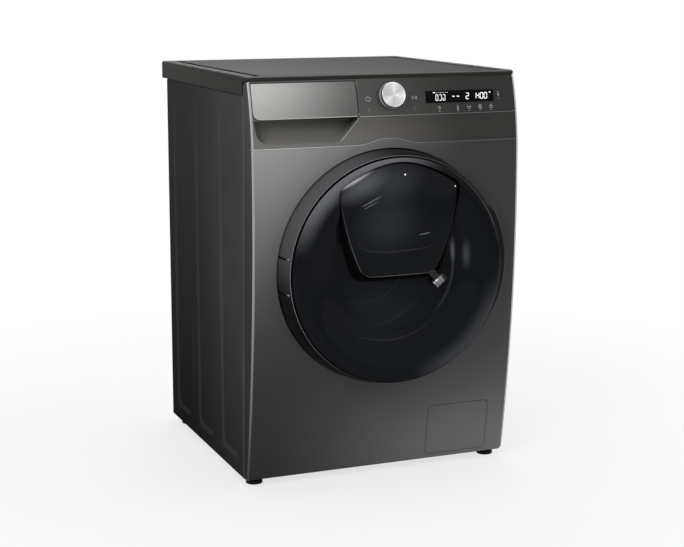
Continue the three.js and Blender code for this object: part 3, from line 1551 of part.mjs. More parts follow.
place("drain_pump", drainPump(), whitePlastic);
place("filter_cap", filterCap(), darkPlastic);
place("filter_hatch", hatchCover(), graphite);
place("inlet_valve", inletValve(), whitePlastic);
place("power_gland", powerGland(), blackRubber);
place("sump_hose", sumpHose(), blackRubber);
place("dispenser_hose", dispenserHose(), blackRubber);
place("inlet_hose", inletHose(), greyRubber);
place("drain_hose", drainHose(), greyRubber);
for (const [x, sideName] of [[-footX, "left"], [footX, "right"]]) {
  for (const [y, endName] of [[-footFrontReach, "front"], [footRear, "rear"]]) {
    place(`foot_${endName}_${sideName}`, moved(foot(), x, y, 0), blackRubber);
  }
}

export default appliance;
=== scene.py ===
# Front-load washing machine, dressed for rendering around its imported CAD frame.
# Lengths in the dictionaries are millimetres; the frame and every piece are in metres.
import json
import math

import bmesh
import bpy
from mathutils import Matrix, Vector


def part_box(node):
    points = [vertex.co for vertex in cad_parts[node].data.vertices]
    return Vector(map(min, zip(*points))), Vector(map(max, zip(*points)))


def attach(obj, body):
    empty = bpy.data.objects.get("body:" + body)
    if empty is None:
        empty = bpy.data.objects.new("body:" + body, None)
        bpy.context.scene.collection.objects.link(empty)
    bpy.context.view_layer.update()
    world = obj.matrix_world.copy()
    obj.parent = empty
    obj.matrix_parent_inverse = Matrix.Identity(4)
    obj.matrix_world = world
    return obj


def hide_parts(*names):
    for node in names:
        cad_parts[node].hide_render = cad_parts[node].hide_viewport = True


mm = 0.001
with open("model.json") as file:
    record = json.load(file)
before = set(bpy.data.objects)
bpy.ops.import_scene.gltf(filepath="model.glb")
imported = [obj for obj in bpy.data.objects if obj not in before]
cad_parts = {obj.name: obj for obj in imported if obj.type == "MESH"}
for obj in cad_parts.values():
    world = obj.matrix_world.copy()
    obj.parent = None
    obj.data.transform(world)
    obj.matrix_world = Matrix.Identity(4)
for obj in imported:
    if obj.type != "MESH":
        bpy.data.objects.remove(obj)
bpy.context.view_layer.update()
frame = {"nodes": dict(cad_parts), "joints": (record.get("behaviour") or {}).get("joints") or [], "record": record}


def boxOf(node):
    low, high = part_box(node)
    return low / mm, high / mm


# places that the other values hang on, all read from the frame
panelLow, panelHigh = boxOf("front_panel")
fasciaLow, fasciaHigh = boxOf("control_fascia")
coverLow, coverHigh = boxOf("door_cover")
ringLow, ringHigh = boxOf("door_ring")
smallLow, smallHigh = boxOf("small_door_panel")
drawerLow, drawerHigh = boxOf("drawer_front")
hatchLow, hatchHigh = boxOf("filter_hatch")
knobLow = boxOf("selector_knob")[0]
displayLow, displayHigh = boxOf("display_window")
topLow, topHigh = boxOf("worktop_frame")
boardLow = boxOf("worktop_board")[0]
halfCabinet = panelHigh.x
bellyY = panelLow.y
doorZ = (coverLow.z + coverHigh.z) / 2
print("frame loaded:", len(frame["nodes"]), "nodes")


# camera, light and stage
cameraSet = {"place": (-1.2635, -3.13175, 1.0484), "pitch": 9.79, "yaw": 22.17, "lens": 80.89, "shift": -0.05}


def addCamera():
    lens = bpy.data.cameras.new("studioCamera")
    lens.lens = cameraSet["lens"]
    lens.shift_y = cameraSet["shift"]
    lens.clip_end = 60
    camera = bpy.data.objects.new("studioCamera", lens)
    camera.location = cameraSet["place"]
    camera.rotation_euler = (math.radians(90 - cameraSet["pitch"]), 0, -math.radians(cameraSet["yaw"]))
    bpy.context.scene.collection.objects.link(camera)
    bpy.context.scene.camera = camera


lamps = {
    "keyLamp": {"place": (-2.6, -2.3, 2.6), "aim": (0, 0, 0.6), "size": (1.6, 1.6), "power": 62},
    "topLamp": {"place": (0.2, 0.3, 3.6), "aim": (0, 0, 0.4), "size": (2.4, 2.4), "power": 46},
    "edgeLamp": {"place": (3.2, -0.6, 1.7), "aim": (0.2, 0, 0.6), "size": (0.7, 2.2), "power": 26},
    "backLamp": {"place": (1.2, 3.4, 2.4), "aim": (0, 0.3, 0.5), "size": (2.0, 1.6), "power": 34},
}


def addLamps():
    for name, look in lamps.items():
        light = bpy.data.lights.new(name, "AREA")
        light.shape = "RECTANGLE"
        light.size, light.size_y = look["size"]
        light.energy = look["power"]
        lamp = bpy.data.objects.new(name, light)
        lamp.location = look["place"]
        aim = Vector(look["aim"]) - Vector(look["place"])
        lamp.rotation_euler = aim.to_track_quat("-Z", "Y").to_euler()
        bpy.context.scene.collection.objects.link(lamp)


world = {"ambient": (0.80, 0.82, 0.86), "ambientStrength": 0.42}


def addWorld():
    sky = bpy.data.worlds.new("studioSky")
    sky.use_nodes = True
    bpy.context.scene.world = sky
    tree = sky.node_tree
    soft = tree.nodes["Background"]
    soft.inputs["Color"].default_value = (*world["ambient"], 1)
    soft.inputs["Strength"].default_value = world["ambientStrength"]
    white = addNode(tree, "Background", None, {"Color": (1, 1, 1, 1)})
    path = addNode(tree, "LightPath").outputs
    seen = mathOf(tree, "MAXIMUM", path["Is Camera Ray"], path["Is Glossy Ray"])
    either = mathOf(tree, "MAXIMUM", seen, path["Is Transmission Ray"])
    mix = addNode(tree, "MixShader", None, None, {"Fac": either, 1: soft.outputs[0], 2: white.outputs[0]})
    tree.links.new(mix.outputs[0], tree.nodes["World Output"].inputs["Surface"])


def addNode(tree, kind, settings=None, values=None, wires=None):
    node = tree.nodes.new("ShaderNode" + kind)
    for name, value in (settings or {}).items():
        setattr(node, name, value)
    for socket, value in (values or {}).items():
        node.inputs[socket].default_value = value
    for socket, source in (wires or {}).items():
        tree.links.new(source, node.inputs[socket])
    return node


def easeBetween(tree, source, start, end):
    # 0 at start, 1 at end, eased at both
    return addNode(tree, "MapRange", {"interpolation_type": "SMOOTHSTEP"},
                   {"From Min": start, "From Max": end}, {"Value": source}).outputs["Result"]


def mathOf(tree, kind, a, b=0):
    node = addNode(tree, "Math", {"operation": kind})
    for socket, value in zip(node.inputs, (a, b)):
        if isinstance(value, (int, float)):
            socket.default_value = value
        else:
            tree.links.new(value, socket)
    return node.outputs[0]


def lengthOf(tree, a, b):
    squares = [mathOf(tree, "MULTIPLY", way, way) for way in (a, b)]
    return mathOf(tree, "SQRT", mathOf(tree, "ADD", *squares))


def addRamp(tree, source, stops, interpolation="LINEAR"):
    # stops of position and colour
    ramp = addNode(tree, "ValToRGB", None, None, {"Fac": source})
    ramp.color_ramp.interpolation = interpolation
    for position, colour in stops[1:-1]:
        ramp.color_ramp.elements.new(position)
    for element, (position, colour) in zip(ramp.color_ramp.elements, stops):
        element.position = position
        element.color = (*colour, 1)
    return ramp.outputs["Color"]


def newMaterial(name):
    material = bpy.data.materials.new(name)
    material.use_nodes = True
    return material, material.node_tree, material.node_tree.nodes["Principled BSDF"]


def mixOf(tree, share, a, b, kind="MIX"):
    node = addNode(tree, "Mix", {"data_type": "RGBA", "blend_type": kind})
    for socket, value in (("Factor", share), ("A", a), ("B", b)):
        if isinstance(value, bpy.types.NodeSocket):
            tree.links.new(value, node.inputs[socket])
        elif isinstance(value, tuple):
            node.inputs[socket].default_value = (*value, 1)
        else:
            node.inputs[socket].default_value = value
    return node.outputs["Result"]


floorSet = {"size": 16.0, "colour": (0.86, 0.86, 0.86), "rough": 0.9, "level": 0.1,
            "nearGlow": 0.72, "glowFrom": 0.55, "glowTo": 1.7}


def addFloor():
    # the floor keeps the shadow near the machine and melts into the white backdrop further off
    half = floorSet["size"] / 2
    mesh = bpy.data.meshes.new("studioFloor")
    corners = [(-half, -half, 0), (half, -half, 0), (half, half, 0), (-half, half, 0)]
    mesh.from_pydata(corners, [], [(0, 1, 2, 3)])
    floor = bpy.data.objects.new("studioFloor", mesh)
    bpy.context.scene.collection.objects.link(floor)
    material, tree, shader = newMaterial("paleFloor")
    shader.inputs["Base Color"].default_value = (*floorSet["colour"], 1)
    shader.inputs["Roughness"].default_value = floorSet["rough"]
    shader.inputs["Specular IOR Level"].default_value = floorSet["level"]
    place = addNode(tree, "TexCoord")
    away = addNode(tree, "VectorMath", {"operation": "LENGTH"}, None, {0: place.outputs["Object"]})
    far = easeBetween(tree, away.outputs["Value"], floorSet["glowFrom"], floorSet["glowTo"])
    spread = mathOf(tree, "MULTIPLY", far, 1 - floorSet["nearGlow"])
    share = mathOf(tree, "ADD", spread, floorSet["nearGlow"])
    seen = mathOf(tree, "MULTIPLY", share, addNode(tree, "LightPath").outputs["Is Camera Ray"])
    glow = addNode(tree, "Emission")
    mix = addNode(tree, "MixShader", None, None, {"Fac": seen, 1: shader.outputs[0], 2: glow.outputs[0]})
    tree.links.new(mix.outputs[0], tree.nodes["Material Output"].inputs["Surface"])
    mesh.materials.append(material)


bpy.context.scene.view_settings.view_transform = "Standard"
addCamera()
addLamps()
addWorld()
addFloor()
print("stage ready")


# finishes, each a plain surface with extras
# plain: colour, metal, rough, level for how strongly it mirrors, mottle with how far the colour wanders
# and its scale, grain with bump height and scale. Some have more:
# stretch: squeezes the grain along an axis, for brushed metal. fleck: how much the grain colours.
# tones: painted light and shade, greys that lighten or darken the colour as light would fall: axis, its start and
# end, the axis across with its start and end, then stops of grey down the left and the right side, which the
# colour tints.
# spots: painted highlights and reflections, soft patches added on, each of place, size, turn about Y and colour.
# arcs: painted highlights, soft bands round the door's axis, each of radius, width, angle, spread and colour.
def plain(colour, metal, rough, level, mottle, grain, **more):
    return {"colour": colour, "metal": metal, "rough": rough, "level": level, "mottle": mottle,
            "grain": grain, **more}


finishes = {
    # painted light and shade: the sides get lighter towards the top and the front
    "sidePaint": plain((1.0, 1.0, 0.99), 0.0, 0.6, 0.0, (0.1, 7), (0.1, 900),
        tones=("Z", 0.83, 0.02, ("Y", 0.2, -0.27),
               [(0, 0.046), (0.45, 0.032), (1, 0.014)],
               [(0, 0.071), (0.45, 0.064), (1, 0.029)])),
    # painted highlight on the pressings' slopes, over the same painted shade as the sides
    "pressingHighlight": plain((1.0, 1.0, 0.99), 0.0, 0.6, 0.0, (0.1, 7), (0.1, 900),
        tones=("Z", 0.83, 0.02, ("Y", 0.2, -0.27),
               [(0, 0.046), (0.45, 0.042), (1, 0.028)],
               [(0, 0.074), (0.45, 0.08), (1, 0.046)])),
    # painted shade on the returns where the front turns into the sides, darker towards the bottom
    "returnShade": plain((1.0, 0.99, 0.95), 0.0, 0.6, 0.0, (0.08, 7), (0.08, 900),
        tones=("Z", 0.83, 0.02, ("X", -0.29, 0.29),
               [(0, 0.085), (0.4, 0.05), (1, 0.028)],
               [(0, 0.085), (1, 0.028)])),
    # painted sheen on the rolled corners, fading towards the bottom
    "cornerSheen": plain((1.0, 1.0, 0.98), 0.15, 0.4, 0.3, (0.04, 9), (0.04, 1200),
        tones=("Z", 0.83, 0.02, ("X", -0.29, 0.29),
               [(0, 0.44), (0.5, 0.38), (0.83, 0.13), (1, 0.06)],
               [(0, 0.5), (0.5, 0.62), (0.85, 0.6), (1, 0.3)])),
    # painted light and shade: bright at the upper left and darkening towards the bottom, while the right side gets
    # lighter towards the bottom
    "graphitePaint": plain((1.0, 0.985, 0.985), 0.1, 0.4, 0.2, (0.04, 5), (0.05, 1400),
        fleck=0.08,
        tones=("Z", 0.72, 0.02, ("X", -0.3, 0.21),
               [(0, 0.4), (0.16, 0.27), (0.34, 0.14), (0.46, 0.084), (0.57, 0.05),
                (0.7, 0.032), (1, 0.03)],
               [(0, 0.036), (0.5, 0.072), (0.66, 0.068), (0.8, 0.108), (0.93, 0.18), (1, 0.19)])),
    # painted light and shade: light on the left and lighter towards the seam, dark on the right
    "fasciaMetal": plain((1.0, 0.96, 0.9), 0.35, 0.36, 0.2, (0.04, 6), (0.06, 700),
        stretch=(0.05, 1, 1),
        tones=("Z", 0.85, 0.72, ("X", -0.16, 0.2),
               [(0, 0.098), (0.6, 0.098), (1, 0.215)],
               [(0, 0.026), (0.6, 0.03), (1, 0.038)])),
    # painted light and shade: light at the left, darker to the right and towards the bottom
    "drawerMetal": plain((1.0, 0.99, 0.96), 0.45, 0.32, 0.25, (0.04, 6), (0.06, 700),
        stretch=(0.05, 1, 1),
        tones=("Z", 0.83, 0.76, ("X", -0.31, -0.03),
               [(0, 0.58), (1, 0.44)],
               [(0, 0.112), (1, 0.095)])),
    # painted light and shade: lighter at the left and towards the bottom of the scoop
    "scoopPlastic": plain((1.0, 0.97, 0.89), 0.0, 0.45, 0.2, (0.06, 9), (0.08, 1200),
        tones=("Z", 0.768, 0.716, ("X", -0.28, -0.06),
               [(0, 0.13), (0.45, 0.11), (1, 0.23)],
               [(0, 0.05), (0.45, 0.08), (1, 0.23)])),
    # painted light and shade: the top is lit at the left and near black at the right
    "topLaminate": plain((1.0, 0.985, 0.95), 0.0, 0.6, 0.02, (0.05, 4), (0.12, 1100),
        fleck=0.06,
        tones=("Y", -0.24, 0.33, ("X", -0.28, 0.26),
               [(0, 0.047), (1, 0.04)],
               [(0, 0.004), (1, 0.004)])),
    # painted highlight: the pale line along the drawer's lower edge
    "edgeTrim": plain((0.52, 0.51, 0.48), 0.6, 0.34, 0.5, (0.04, 20), (0.03, 900)),
    # painted highlight: the pale lines of the fascia's seams and edges, bright at the left and dimmer to the right
    "seamTrim": plain((1.0, 0.98, 0.93), 0.2, 0.4, 0.3, (0.04, 20), (0.03, 900),
        tones=("Z", 0.85, 0.65, ("X", -0.26, 0.16),
               [(0, 0.9), (1, 0.9)],
               [(0, 0.2), (1, 0.2)])),
    # painted highlight on the side panels' front edges
    "sideEdgeHighlight": plain((0.17, 0.168, 0.16), 0.0, 0.45, 0.2, (0.06, 12), (0.05, 900)),
    "shadowGap": plain((0.004, 0.004, 0.004), 0, 0.7, 0.0, (0.2, 30), (0.05, 400)),
    "darkPlastic": plain((0.03, 0.032, 0.036), 0.0, 0.36, 0.25, (0.07, 8), (0.08, 1300)),
    # painted highlight at the ring's upper left
    "ringPlastic": plain((0.0045, 0.0048, 0.0056), 0.0, 0.34, 0.1, (0.07, 8), (0.06, 1300),
        arcs=((240, 60, 140, 54, (0.078, 0.08, 0.082)),)),
    # painted highlights and reflections: a bright band on the upper left rim, a faint line and a dim band at the
    # right and lower right, two narrow upright reflections right of the middle and a faint pale patch below the
    # middle
    "tintedCover": plain((0.0062, 0.007, 0.0088), 0.0, 0.12, 0.06, (0.15, 6), (0.01, 300),
        arcs=((226, 34, 117, 54, (0.15, 0.154, 0.161)),
              (129, 5, -10, 44, (0.03, 0.031, 0.034)),
              (224, 34, -44, 40, (0.04, 0.042, 0.045))),
        spots=(((128, -330, 489), (7, 80, 36), -4, (0.105, 0.108, 0.114)),
               ((156, -330, 477), (12, 80, 42), -2, (0.045, 0.047, 0.051)),
               ((-30, -330, 375), (130, 90, 95), 0, (0.0085, 0.0088, 0.0096)))),
    # painted highlights: a bright line and a soft glow along the small door's upper left edge, and a fainter sheen
    # over its top and middle
    "smallGlass": plain((0.0062, 0.007, 0.0086), 0.0, 0.1, 0.08, (0.12, 8), (0.01, 300),
        spots=(((-102, -345, 643), (66, 80, 8), -28, (0.6, 0.6, 0.63)),
               ((-84, -345, 634), (80, 80, 36), -28, (0.085, 0.088, 0.094)),
               ((-20, -345, 640), (90, 80, 50), -8, (0.03, 0.031, 0.034)),
               ((-30, -345, 560), (100, 80, 85), 0, (0.02, 0.021, 0.023)))),
    "displayGlass": plain((0.002, 0.002, 0.002), 0.0, 0.15, 0.05, (0.3, 12), (0.01, 300)),
    "hingeChrome": plain((0.62, 0.63, 0.64), 1, 0.16, 0.5, (0.05, 30), (0.03, 600)),
    "zincSteel": plain((0.46, 0.47, 0.48), 0.85, 0.42, 0.5, (0.16, 38), (0.08, 500)),
    "castAlloy": plain((0.42, 0.43, 0.44), 0.8, 0.55, 0.5, (0.12, 26), (0.35, 320)),
    "whitePlastic": plain((0.66, 0.665, 0.655), 0, 0.45, 0.5, (0.04, 14), (0.07, 900)),
    "greyRubber": plain((0.155, 0.165, 0.17), 0, 0.62, 0.5, (0.12, 16), (0.18, 700)),
    "blackRubber": plain((0.012, 0.012, 0.012), 0, 0.58, 0.3, (0.2, 24), (0.25, 800)),
    "weightIron": plain((0.085, 0.082, 0.078), 0.5, 0.68, 0.5, (0.22, 30), (0.6, 240)),
    "stainless": plain((0.56, 0.565, 0.57), 1, 0.3, 0.5, (0.05, 18), (0.06, 500),
        stretch=(1, 0.06, 1)),
    "circuitGreen": plain((0.012, 0.095, 0.045), 0, 0.35, 0.5, (0.25, 90), (0.2, 300)),
    "iconPrint": plain((0.55, 0.55, 0.53), 0, 0.5, 0.2, (0.05, 60), (0.02, 600)),
    # painted highlight along the rim line, bright over the upper left and faint at the lower right
    "rimLine": plain((0.02, 0.021, 0.023), 0.0, 0.3, 0.2, (0.1, 20), (0.02, 500),
        arcs=((235, 60, 145, 110, (0.34, 0.34, 0.345)),
              (235, 60, -50, 75, (0.06, 0.062, 0.065)))),
}
made = {}


def paintedShadeColour(tree, place, tones):
    # painted light and shade: greys down each side, blended from left to right
    downAxis, top, bottom, (acrossAxis, start, end), *sides = tones
    split = addNode(tree, "SeparateXYZ", None, None, {0: place})
    down = addNode(tree, "MapRange", None, {"From Min": top, "From Max": bottom},
                   {"Value": split.outputs[downAxis]}).outputs["Result"]
    ramps = [addRamp(tree, down, [(position, (grey, grey, grey)) for position, grey in stops],
                     "EASE" if len(stops) == 2 else "B_SPLINE") for stops in sides]
    return mixOf(tree, easeBetween(tree, split.outputs[acrossAxis], start, end), *ramps)


# a painted highlight: a soft pale patch added to the colour
def addHighlightSpot(tree, base, spot, coords):
    place, size, turn, colour = spot
    patch = addNode(tree, "Mapping", {"vector_type": "TEXTURE"}, {
        "Location": [v * mm for v in place], "Rotation": (0, math.radians(turn), 0),
        "Scale": [v * mm for v in size]}, {"Vector": coords})
    ball = addNode(tree, "TexGradient", {"gradient_type": "SPHERICAL"}, None, {"Vector": patch.outputs[0]})
    return mixOf(tree, easeBetween(tree, ball.outputs["Fac"], 0, 1), base, colour, "ADD")


# a painted highlight: a soft pale band round the door's axis, added to the colour
def addHighlightArc(tree, base, arc, coords):
    radius, width, angle, spread, colour = arc

    def vector(kind, source, value=None):
        return addNode(tree, "VectorMath", {"operation": kind}, {1: value} if value else None, {0: source})

    fromAxis = vector("SUBTRACT", coords, (0, 0, doorZ * mm))
    flat = vector("MULTIPLY", fromAxis.outputs[0], (1, 0, 1)).outputs[0]
    reach = vector("LENGTH", flat).outputs["Value"]
    off = mathOf(tree, "ABSOLUTE", mathOf(tree, "SUBTRACT", reach, radius * mm))
    band = easeBetween(tree, off, width * mm, 0)
    turn = math.radians(angle)
    unit = vector("NORMALIZE", flat).outputs[0]
    facing = vector("DOT_PRODUCT", unit, (math.cos(turn), 0, math.sin(turn))).outputs["Value"]
    sweep = easeBetween(tree, facing, math.cos(math.radians(spread)), 1)
    return mixOf(tree, mathOf(tree, "MULTIPLY", band, sweep), base, colour, "ADD")


surface = {"mottleDetail": 4, "mottleFrom": 0.3, "mottleTo": 0.7, "grainDetail": 3, "grainDepth": 0.0004,
           "roughSpread": 0.15}


def finish(name):
    if name in made:
        return made[name]
    look = finishes[name]
    material, tree, shader = newMaterial(name)
    shader.inputs["Metallic"].default_value = look["metal"]
    shader.inputs["Specular IOR Level"].default_value = look["level"]
    place = addNode(tree, "TexCoord").outputs["Object"]
    mottle, mottleScale = look["mottle"]
    wander = addNode(tree, "TexNoise", None, {"Scale": mottleScale, "Detail": surface["mottleDetail"]},
                     {"Vector": place})
    stops = [(position, [c * share for c in look["colour"]])
             for position, share in ((surface["mottleFrom"], 1 - mottle), (surface["mottleTo"], 1))]
    colour = addRamp(tree, wander.outputs["Fac"], stops)
    # painted light and shade, multiplied into the colour
    if "tones" in look:
        colour = mixOf(tree, 1.0, colour, paintedShadeColour(tree, place, look["tones"]), "MULTIPLY")
    # painted highlights and reflections added to the colour
    for spot in look.get("spots", ()):
        colour = addHighlightSpot(tree, colour, spot, place)
    # painted highlight bands round the door
    for arc in look.get("arcs", ()):
        colour = addHighlightArc(tree, colour, arc, place)
    height, grainScale = look["grain"]
    stretch = addNode(tree, "Mapping", None, {"Scale": look.get("stretch", (1, 1, 1))}, {"Vector": place})
    grain = addNode(tree, "TexNoise", None, {"Scale": grainScale, "Detail": surface["grainDetail"]},
                    {"Vector": stretch.outputs["Vector"]}).outputs
    if "fleck" in look:
        colour = mixOf(tree, look["fleck"], colour, grain["Color"], "OVERLAY")
    low, high = (look["rough"] * (1 + way * surface["roughSpread"]) for way in (-1, 1))
    rough = addNode(tree, "MapRange", None, {"To Min": low, "To Max": high}, {"Value": grain["Fac"]})
    bump = addNode(tree, "Bump", None, {"Strength": height, "Distance": surface["grainDepth"]},
                   {"Height": grain["Fac"]})
    for socket, source in (("Base Color", colour), ("Roughness", rough.outputs["Result"]),
                           ("Normal", bump.outputs["Normal"])):
        tree.links.new(source, shader.inputs[socket])
    made[name] = material
    return material


# piece helpers
def join(piece, body, standsFor):
    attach(piece, body)
    if standsFor:
        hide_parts(*standsFor)
    return piece


def newObject(name, points, faces):
    mesh = bpy.data.meshes.new(name)
    mesh.from_pydata([(x * mm, y * mm, z * mm) for x, y, z in points], [], faces)
    piece = bpy.data.objects.new(name, mesh)
    bpy.context.scene.collection.objects.link(piece)
    return piece


def addPiece(name, points, faces, look, body, slot, standsFor=(), crease=30):
    piece = newObject(name, points, faces)
    piece.data.materials.append(finish(look))
    smooth(piece, crease)
    return join(piece, body, standsFor)


def paint(piece, look, test):
    # the faces that pass the test get a finish of their own
    index = len(piece.data.materials)
    piece.data.materials.append(finish(look))
    for face in piece.data.polygons:
        if test(face):
            face.material_index = index


def smooth(piece, crease, merge=0.0):
    shape = bmesh.new()
    shape.from_mesh(piece.data)
    if merge:
        bmesh.ops.remove_doubles(shape, verts=shape.verts, dist=merge)
    bmesh.ops.recalc_face_normals(shape, faces=shape.faces)
    limit = math.radians(crease)
    for face in shape.faces:
        face.smooth = True
    for edge in shape.edges:
        edge.smooth = len(edge.link_faces) == 2 and edge.calc_face_angle(0) < limit
    shape.to_mesh(piece.data)
    shape.free()


def settle(piece):
    # bakes the modifiers into the mesh
    graph = bpy.context.evaluated_depsgraph_get()
    mesh = bpy.data.meshes.new_from_object(piece.evaluated_get(graph))
    old = piece.data
    piece.modifiers.clear()
    piece.data = mesh
    bpy.data.meshes.remove(old)


def carve(piece, tool, operation="DIFFERENCE", keepTool=False):
    carver = piece.modifiers.new("carve", "BOOLEAN")
    carver.operation = operation
    carver.solver = "EXACT"
    carver.object = tool
    settle(piece)
    if not keepTool:
        bpy.data.objects.remove(tool)
    return piece


def soften(piece, width, segments=2, angle=40):
    edge = piece.modifiers.new("soften", "BEVEL")
    edge.width = width * mm
    edge.segments = segments
    edge.limit_method = "ANGLE"
    edge.angle_limit = math.radians(angle)
    edge.use_clamp_overlap = True
    settle(piece)
    return piece


def polish(piece, normalAt, within=28):
    # true surface normals on the curved faces, flat ones elsewhere
    mesh = piece.data
    limit = math.cos(math.radians(within))
    normals = []
    for face in mesh.polygons:
        flat = face.normal
        for corner in face.loop_indices:
            point = mesh.vertices[mesh.loops[corner].vertex_index].co / mm
            true = normalAt(point)
            normals.append(true if true is not None and true.dot(flat) > limit else flat.copy())
    mesh.normals_split_custom_set([n.normalized()[:] for n in normals])


def tool(points, faces):
    cutter = newObject("tool", points, faces)
    smooth(cutter, 30)
    return cutter


def loft(rings, capped=True):
    # matching closed rings of points, joined by quads
    count = len(rings[0])
    points = [p for ring in rings for p in ring]
    faces = []
    for k in range(len(rings) - 1):
        for i in range(count):
            a, b = k * count + i, k * count + (i + 1) % count
            faces.append((a, b, b + count, a + count))
    if capped:
        faces.append(tuple(range(count)))
        last = (len(rings) - 1) * count
        faces.append(tuple(last + i for i in range(count)))
    return points, faces


def prism(outline, y0, y1):
    # an outline in X and Z, from y0 back to y1
    return loft([[(x, y, z) for x, z in outline] for y in (y0, y1)])


def brick(x0, x1, z0, z1, y0, y1):
    return prism([(x0, z0), (x1, z0), (x1, z1), (x0, z1)], y0, y1)


def slab(side, x0, x1):
    # an outline in Y and Z, from x0 across to x1
    return loft([[(x, y, z) for y, z in side] for x in (x0, x1)])


def spun(profile, centre, steps):
    # rings of a profile of (radius, z), turned about an upright axis
    turns = [2 * math.pi * i / steps for i in range(steps)]
    return [[(centre[0] + r * math.cos(turn), centre[1] + r * math.sin(turn), z) for turn in turns]
            for r, z in profile]


def turned(profile, centre, steps=144, radiusAt=None, closed=True):
    # profile of (radius, y) turned about an axis along Y through centre x, z
    rings = []
    for r, y in profile:
        ring = []
        for i in range(steps):
            angle = 2 * math.pi * i / steps
            reach = r + (radiusAt(angle, r, y) if radiusAt else 0)
            ring.append((centre[0] + reach * math.cos(angle), y, centre[1] + reach * math.sin(angle)))
        rings.append(ring)
    return loft(rings + rings[:1], capped=False) if closed else loft(rings)


def disc(radius, y0, y1, centre, steps=144):
    # a round cutter along Y
    return tool(*turned([(0.01, y0), (radius, y0), (radius, y1), (0.01, y1)], centre, steps, closed=False))


def bezier(p0, p1, p2, p3, steps):
    out = []
    for i in range(1, steps + 1):
        t = i / steps
        s = 1 - t
        out.append(tuple(s ** 3 * a + 3 * s * s * t * b + 3 * s * t * t * c + t ** 3 * d
                         for a, b, c, d in zip(p0, p1, p2, p3)))
    return out


def quadratic(p0, p1, p2, steps):
    return [tuple((1 - t) ** 2 * a + 2 * (1 - t) * t * b + t * t * c for a, b, c in zip(p0, p1, p2))
            for t in (i / steps for i in range(1, steps + 1))]


def roundedOutline(corners, steps=8):
    # (u, v, radius) corners, each rounded by an arc
    out = []
    count = len(corners)
    for i, (u, v, radius) in enumerate(corners):
        here = Vector((u, v))
        before = Vector(corners[i - 1][:2]) - here
        after = Vector(corners[(i + 1) % count][:2]) - here
        if radius <= 0:
            out.append((u, v))
            continue
        half = before.angle(after) / 2
        reach = min(radius / math.tan(half), before.length / 2, after.length / 2)
        a = here + before.normalized() * reach
        b = here + after.normalized() * reach
        out.append(tuple(a))
        out.extend(quadratic(a, here + (a + b - 2 * here) * 0.12, b, steps))
    return out


def roundedRect(x0, x1, z0, z1, radius, steps=8):
    out = []
    for cx, cz, start in ((x1 - radius, z0 + radius, -90), (x1 - radius, z1 - radius, 0),
                          (x0 + radius, z1 - radius, 90), (x0 + radius, z0 + radius, 180)):
        for i in range(steps + 1):
            angle = math.radians(start + 90 * i / steps)
            out.append((cx + radius * math.cos(angle), cz + radius * math.sin(angle)))
    return out


# the bulged front's skin
skin = {"bellyZ": 600, "bellyRadius": 3280, "browZ": 690, "browRadius": 610, "edgeRound": 9, "footRound": 12,
        "edgeTopY": -244.25, "edgeFootY": -224.25, "edgeFootZ": 15, "edgeTopZ": 707, "browSteps": 18,
        "bellySteps": 45, "backY": -150}
ahead = bellyY - 20  # before every face of the front
far, farZ = 400, 900  # past the machine


def skinY(z):
    belly, brow = z - skin["bellyZ"], max(0.0, z - skin["browZ"])
    return bellyY + belly ** 2 / (2 * skin["bellyRadius"]) + brow ** 2 / (2 * skin["browRadius"])


def skinNormal(point):
    z = point.z
    slope = (z - skin["bellyZ"]) / skin["bellyRadius"] + max(0.0, z - skin["browZ"]) / skin["browRadius"]
    return Vector((0, -1, slope)).normalized()


def edgeY(z):
    share = min(1.0, max(0.0, (z - skin["edgeFootZ"]) / (skin["edgeTopZ"] - skin["edgeFootZ"])))
    return skin["edgeFootY"] + (skin["edgeTopY"] - skin["edgeFootY"]) * share


def skinProfile(inset, backY, topZ, lowZ):
    foot = skin["footRound"] - inset
    top, bottom = topZ - inset, lowZ + inset + foot
    profile = [(backY, top)]
    for start, end, steps in ((top, skin["browZ"], skin["browSteps"]),
                              (skin["browZ"], bottom, skin["bellySteps"])):
        for i in range(steps):
            z = start + (end - start) * i / steps
            profile.append((skinY(z) + inset, z))
    heel = skinY(bottom) + inset + foot
    for i in range(7):
        angle = math.pi + math.pi / 2 * i / 6
        profile.append((heel + foot * math.cos(angle), bottom + foot * math.sin(angle)))
    profile.append((backY, lowZ + inset))
    return profile


def skinBlock(inset, backY=skin["backY"]):
    # the whole front as one body, set in from the outer skin
    edge = skin["edgeRound"] - inset
    stations = []
    for i in range(7):
        angle = math.radians(90 - 15 * i)
        stations.append((-halfCabinet + inset + edge * (1 - math.sin(angle)),
                         inset + edge * (1 - math.cos(angle))))
    stations += [(-x, own) for x, own in reversed(stations)]
    return tool(*loft([[(x, y, z) for y, z in skinProfile(own, backY, fasciaHigh.z, panelLow.z)]
                       for x, own in stations]))


seam = {"gap": 0.25, "rise": 12, "half": 75}


def seamLine(gap):
    # the seam between panel and fascia, which rises over the door
    z = fasciaLow.z - seam["gap"] + gap
    rise, half = seam["rise"], seam["half"]
    line = [(-far, z), (-half, z)]
    line += bezier((-half, z), (-half / 2, z), (-half / 2, z + rise), (0, z + rise), 18)
    line += bezier((0, z + rise), (half / 2, z + rise), (half / 2, z), (half, z), 18)
    line.append((far, z))
    return line


def aboveSeam(gap):
    return tool(*prism(seamLine(gap) + [(far, farZ), (-far, farZ)], bellyY - 60, -50))


def behindSides(gap):
    # everything behind the side panels' front edges
    foot, top = skin["edgeFootZ"], skin["edgeTopZ"]
    side = [(edgeY(at) - gap, z) for at, z in ((0, -20), (foot, foot), (top, top), (top, farZ))]
    return tool(*slab(side + [(200, farZ), (200, -20)], -far, far))


def skinShell(wall):
    shell = skinBlock(0)
    carve(shell, skinBlock(wall, -100))
    carve(shell, behindSides(0.5))
    return shell


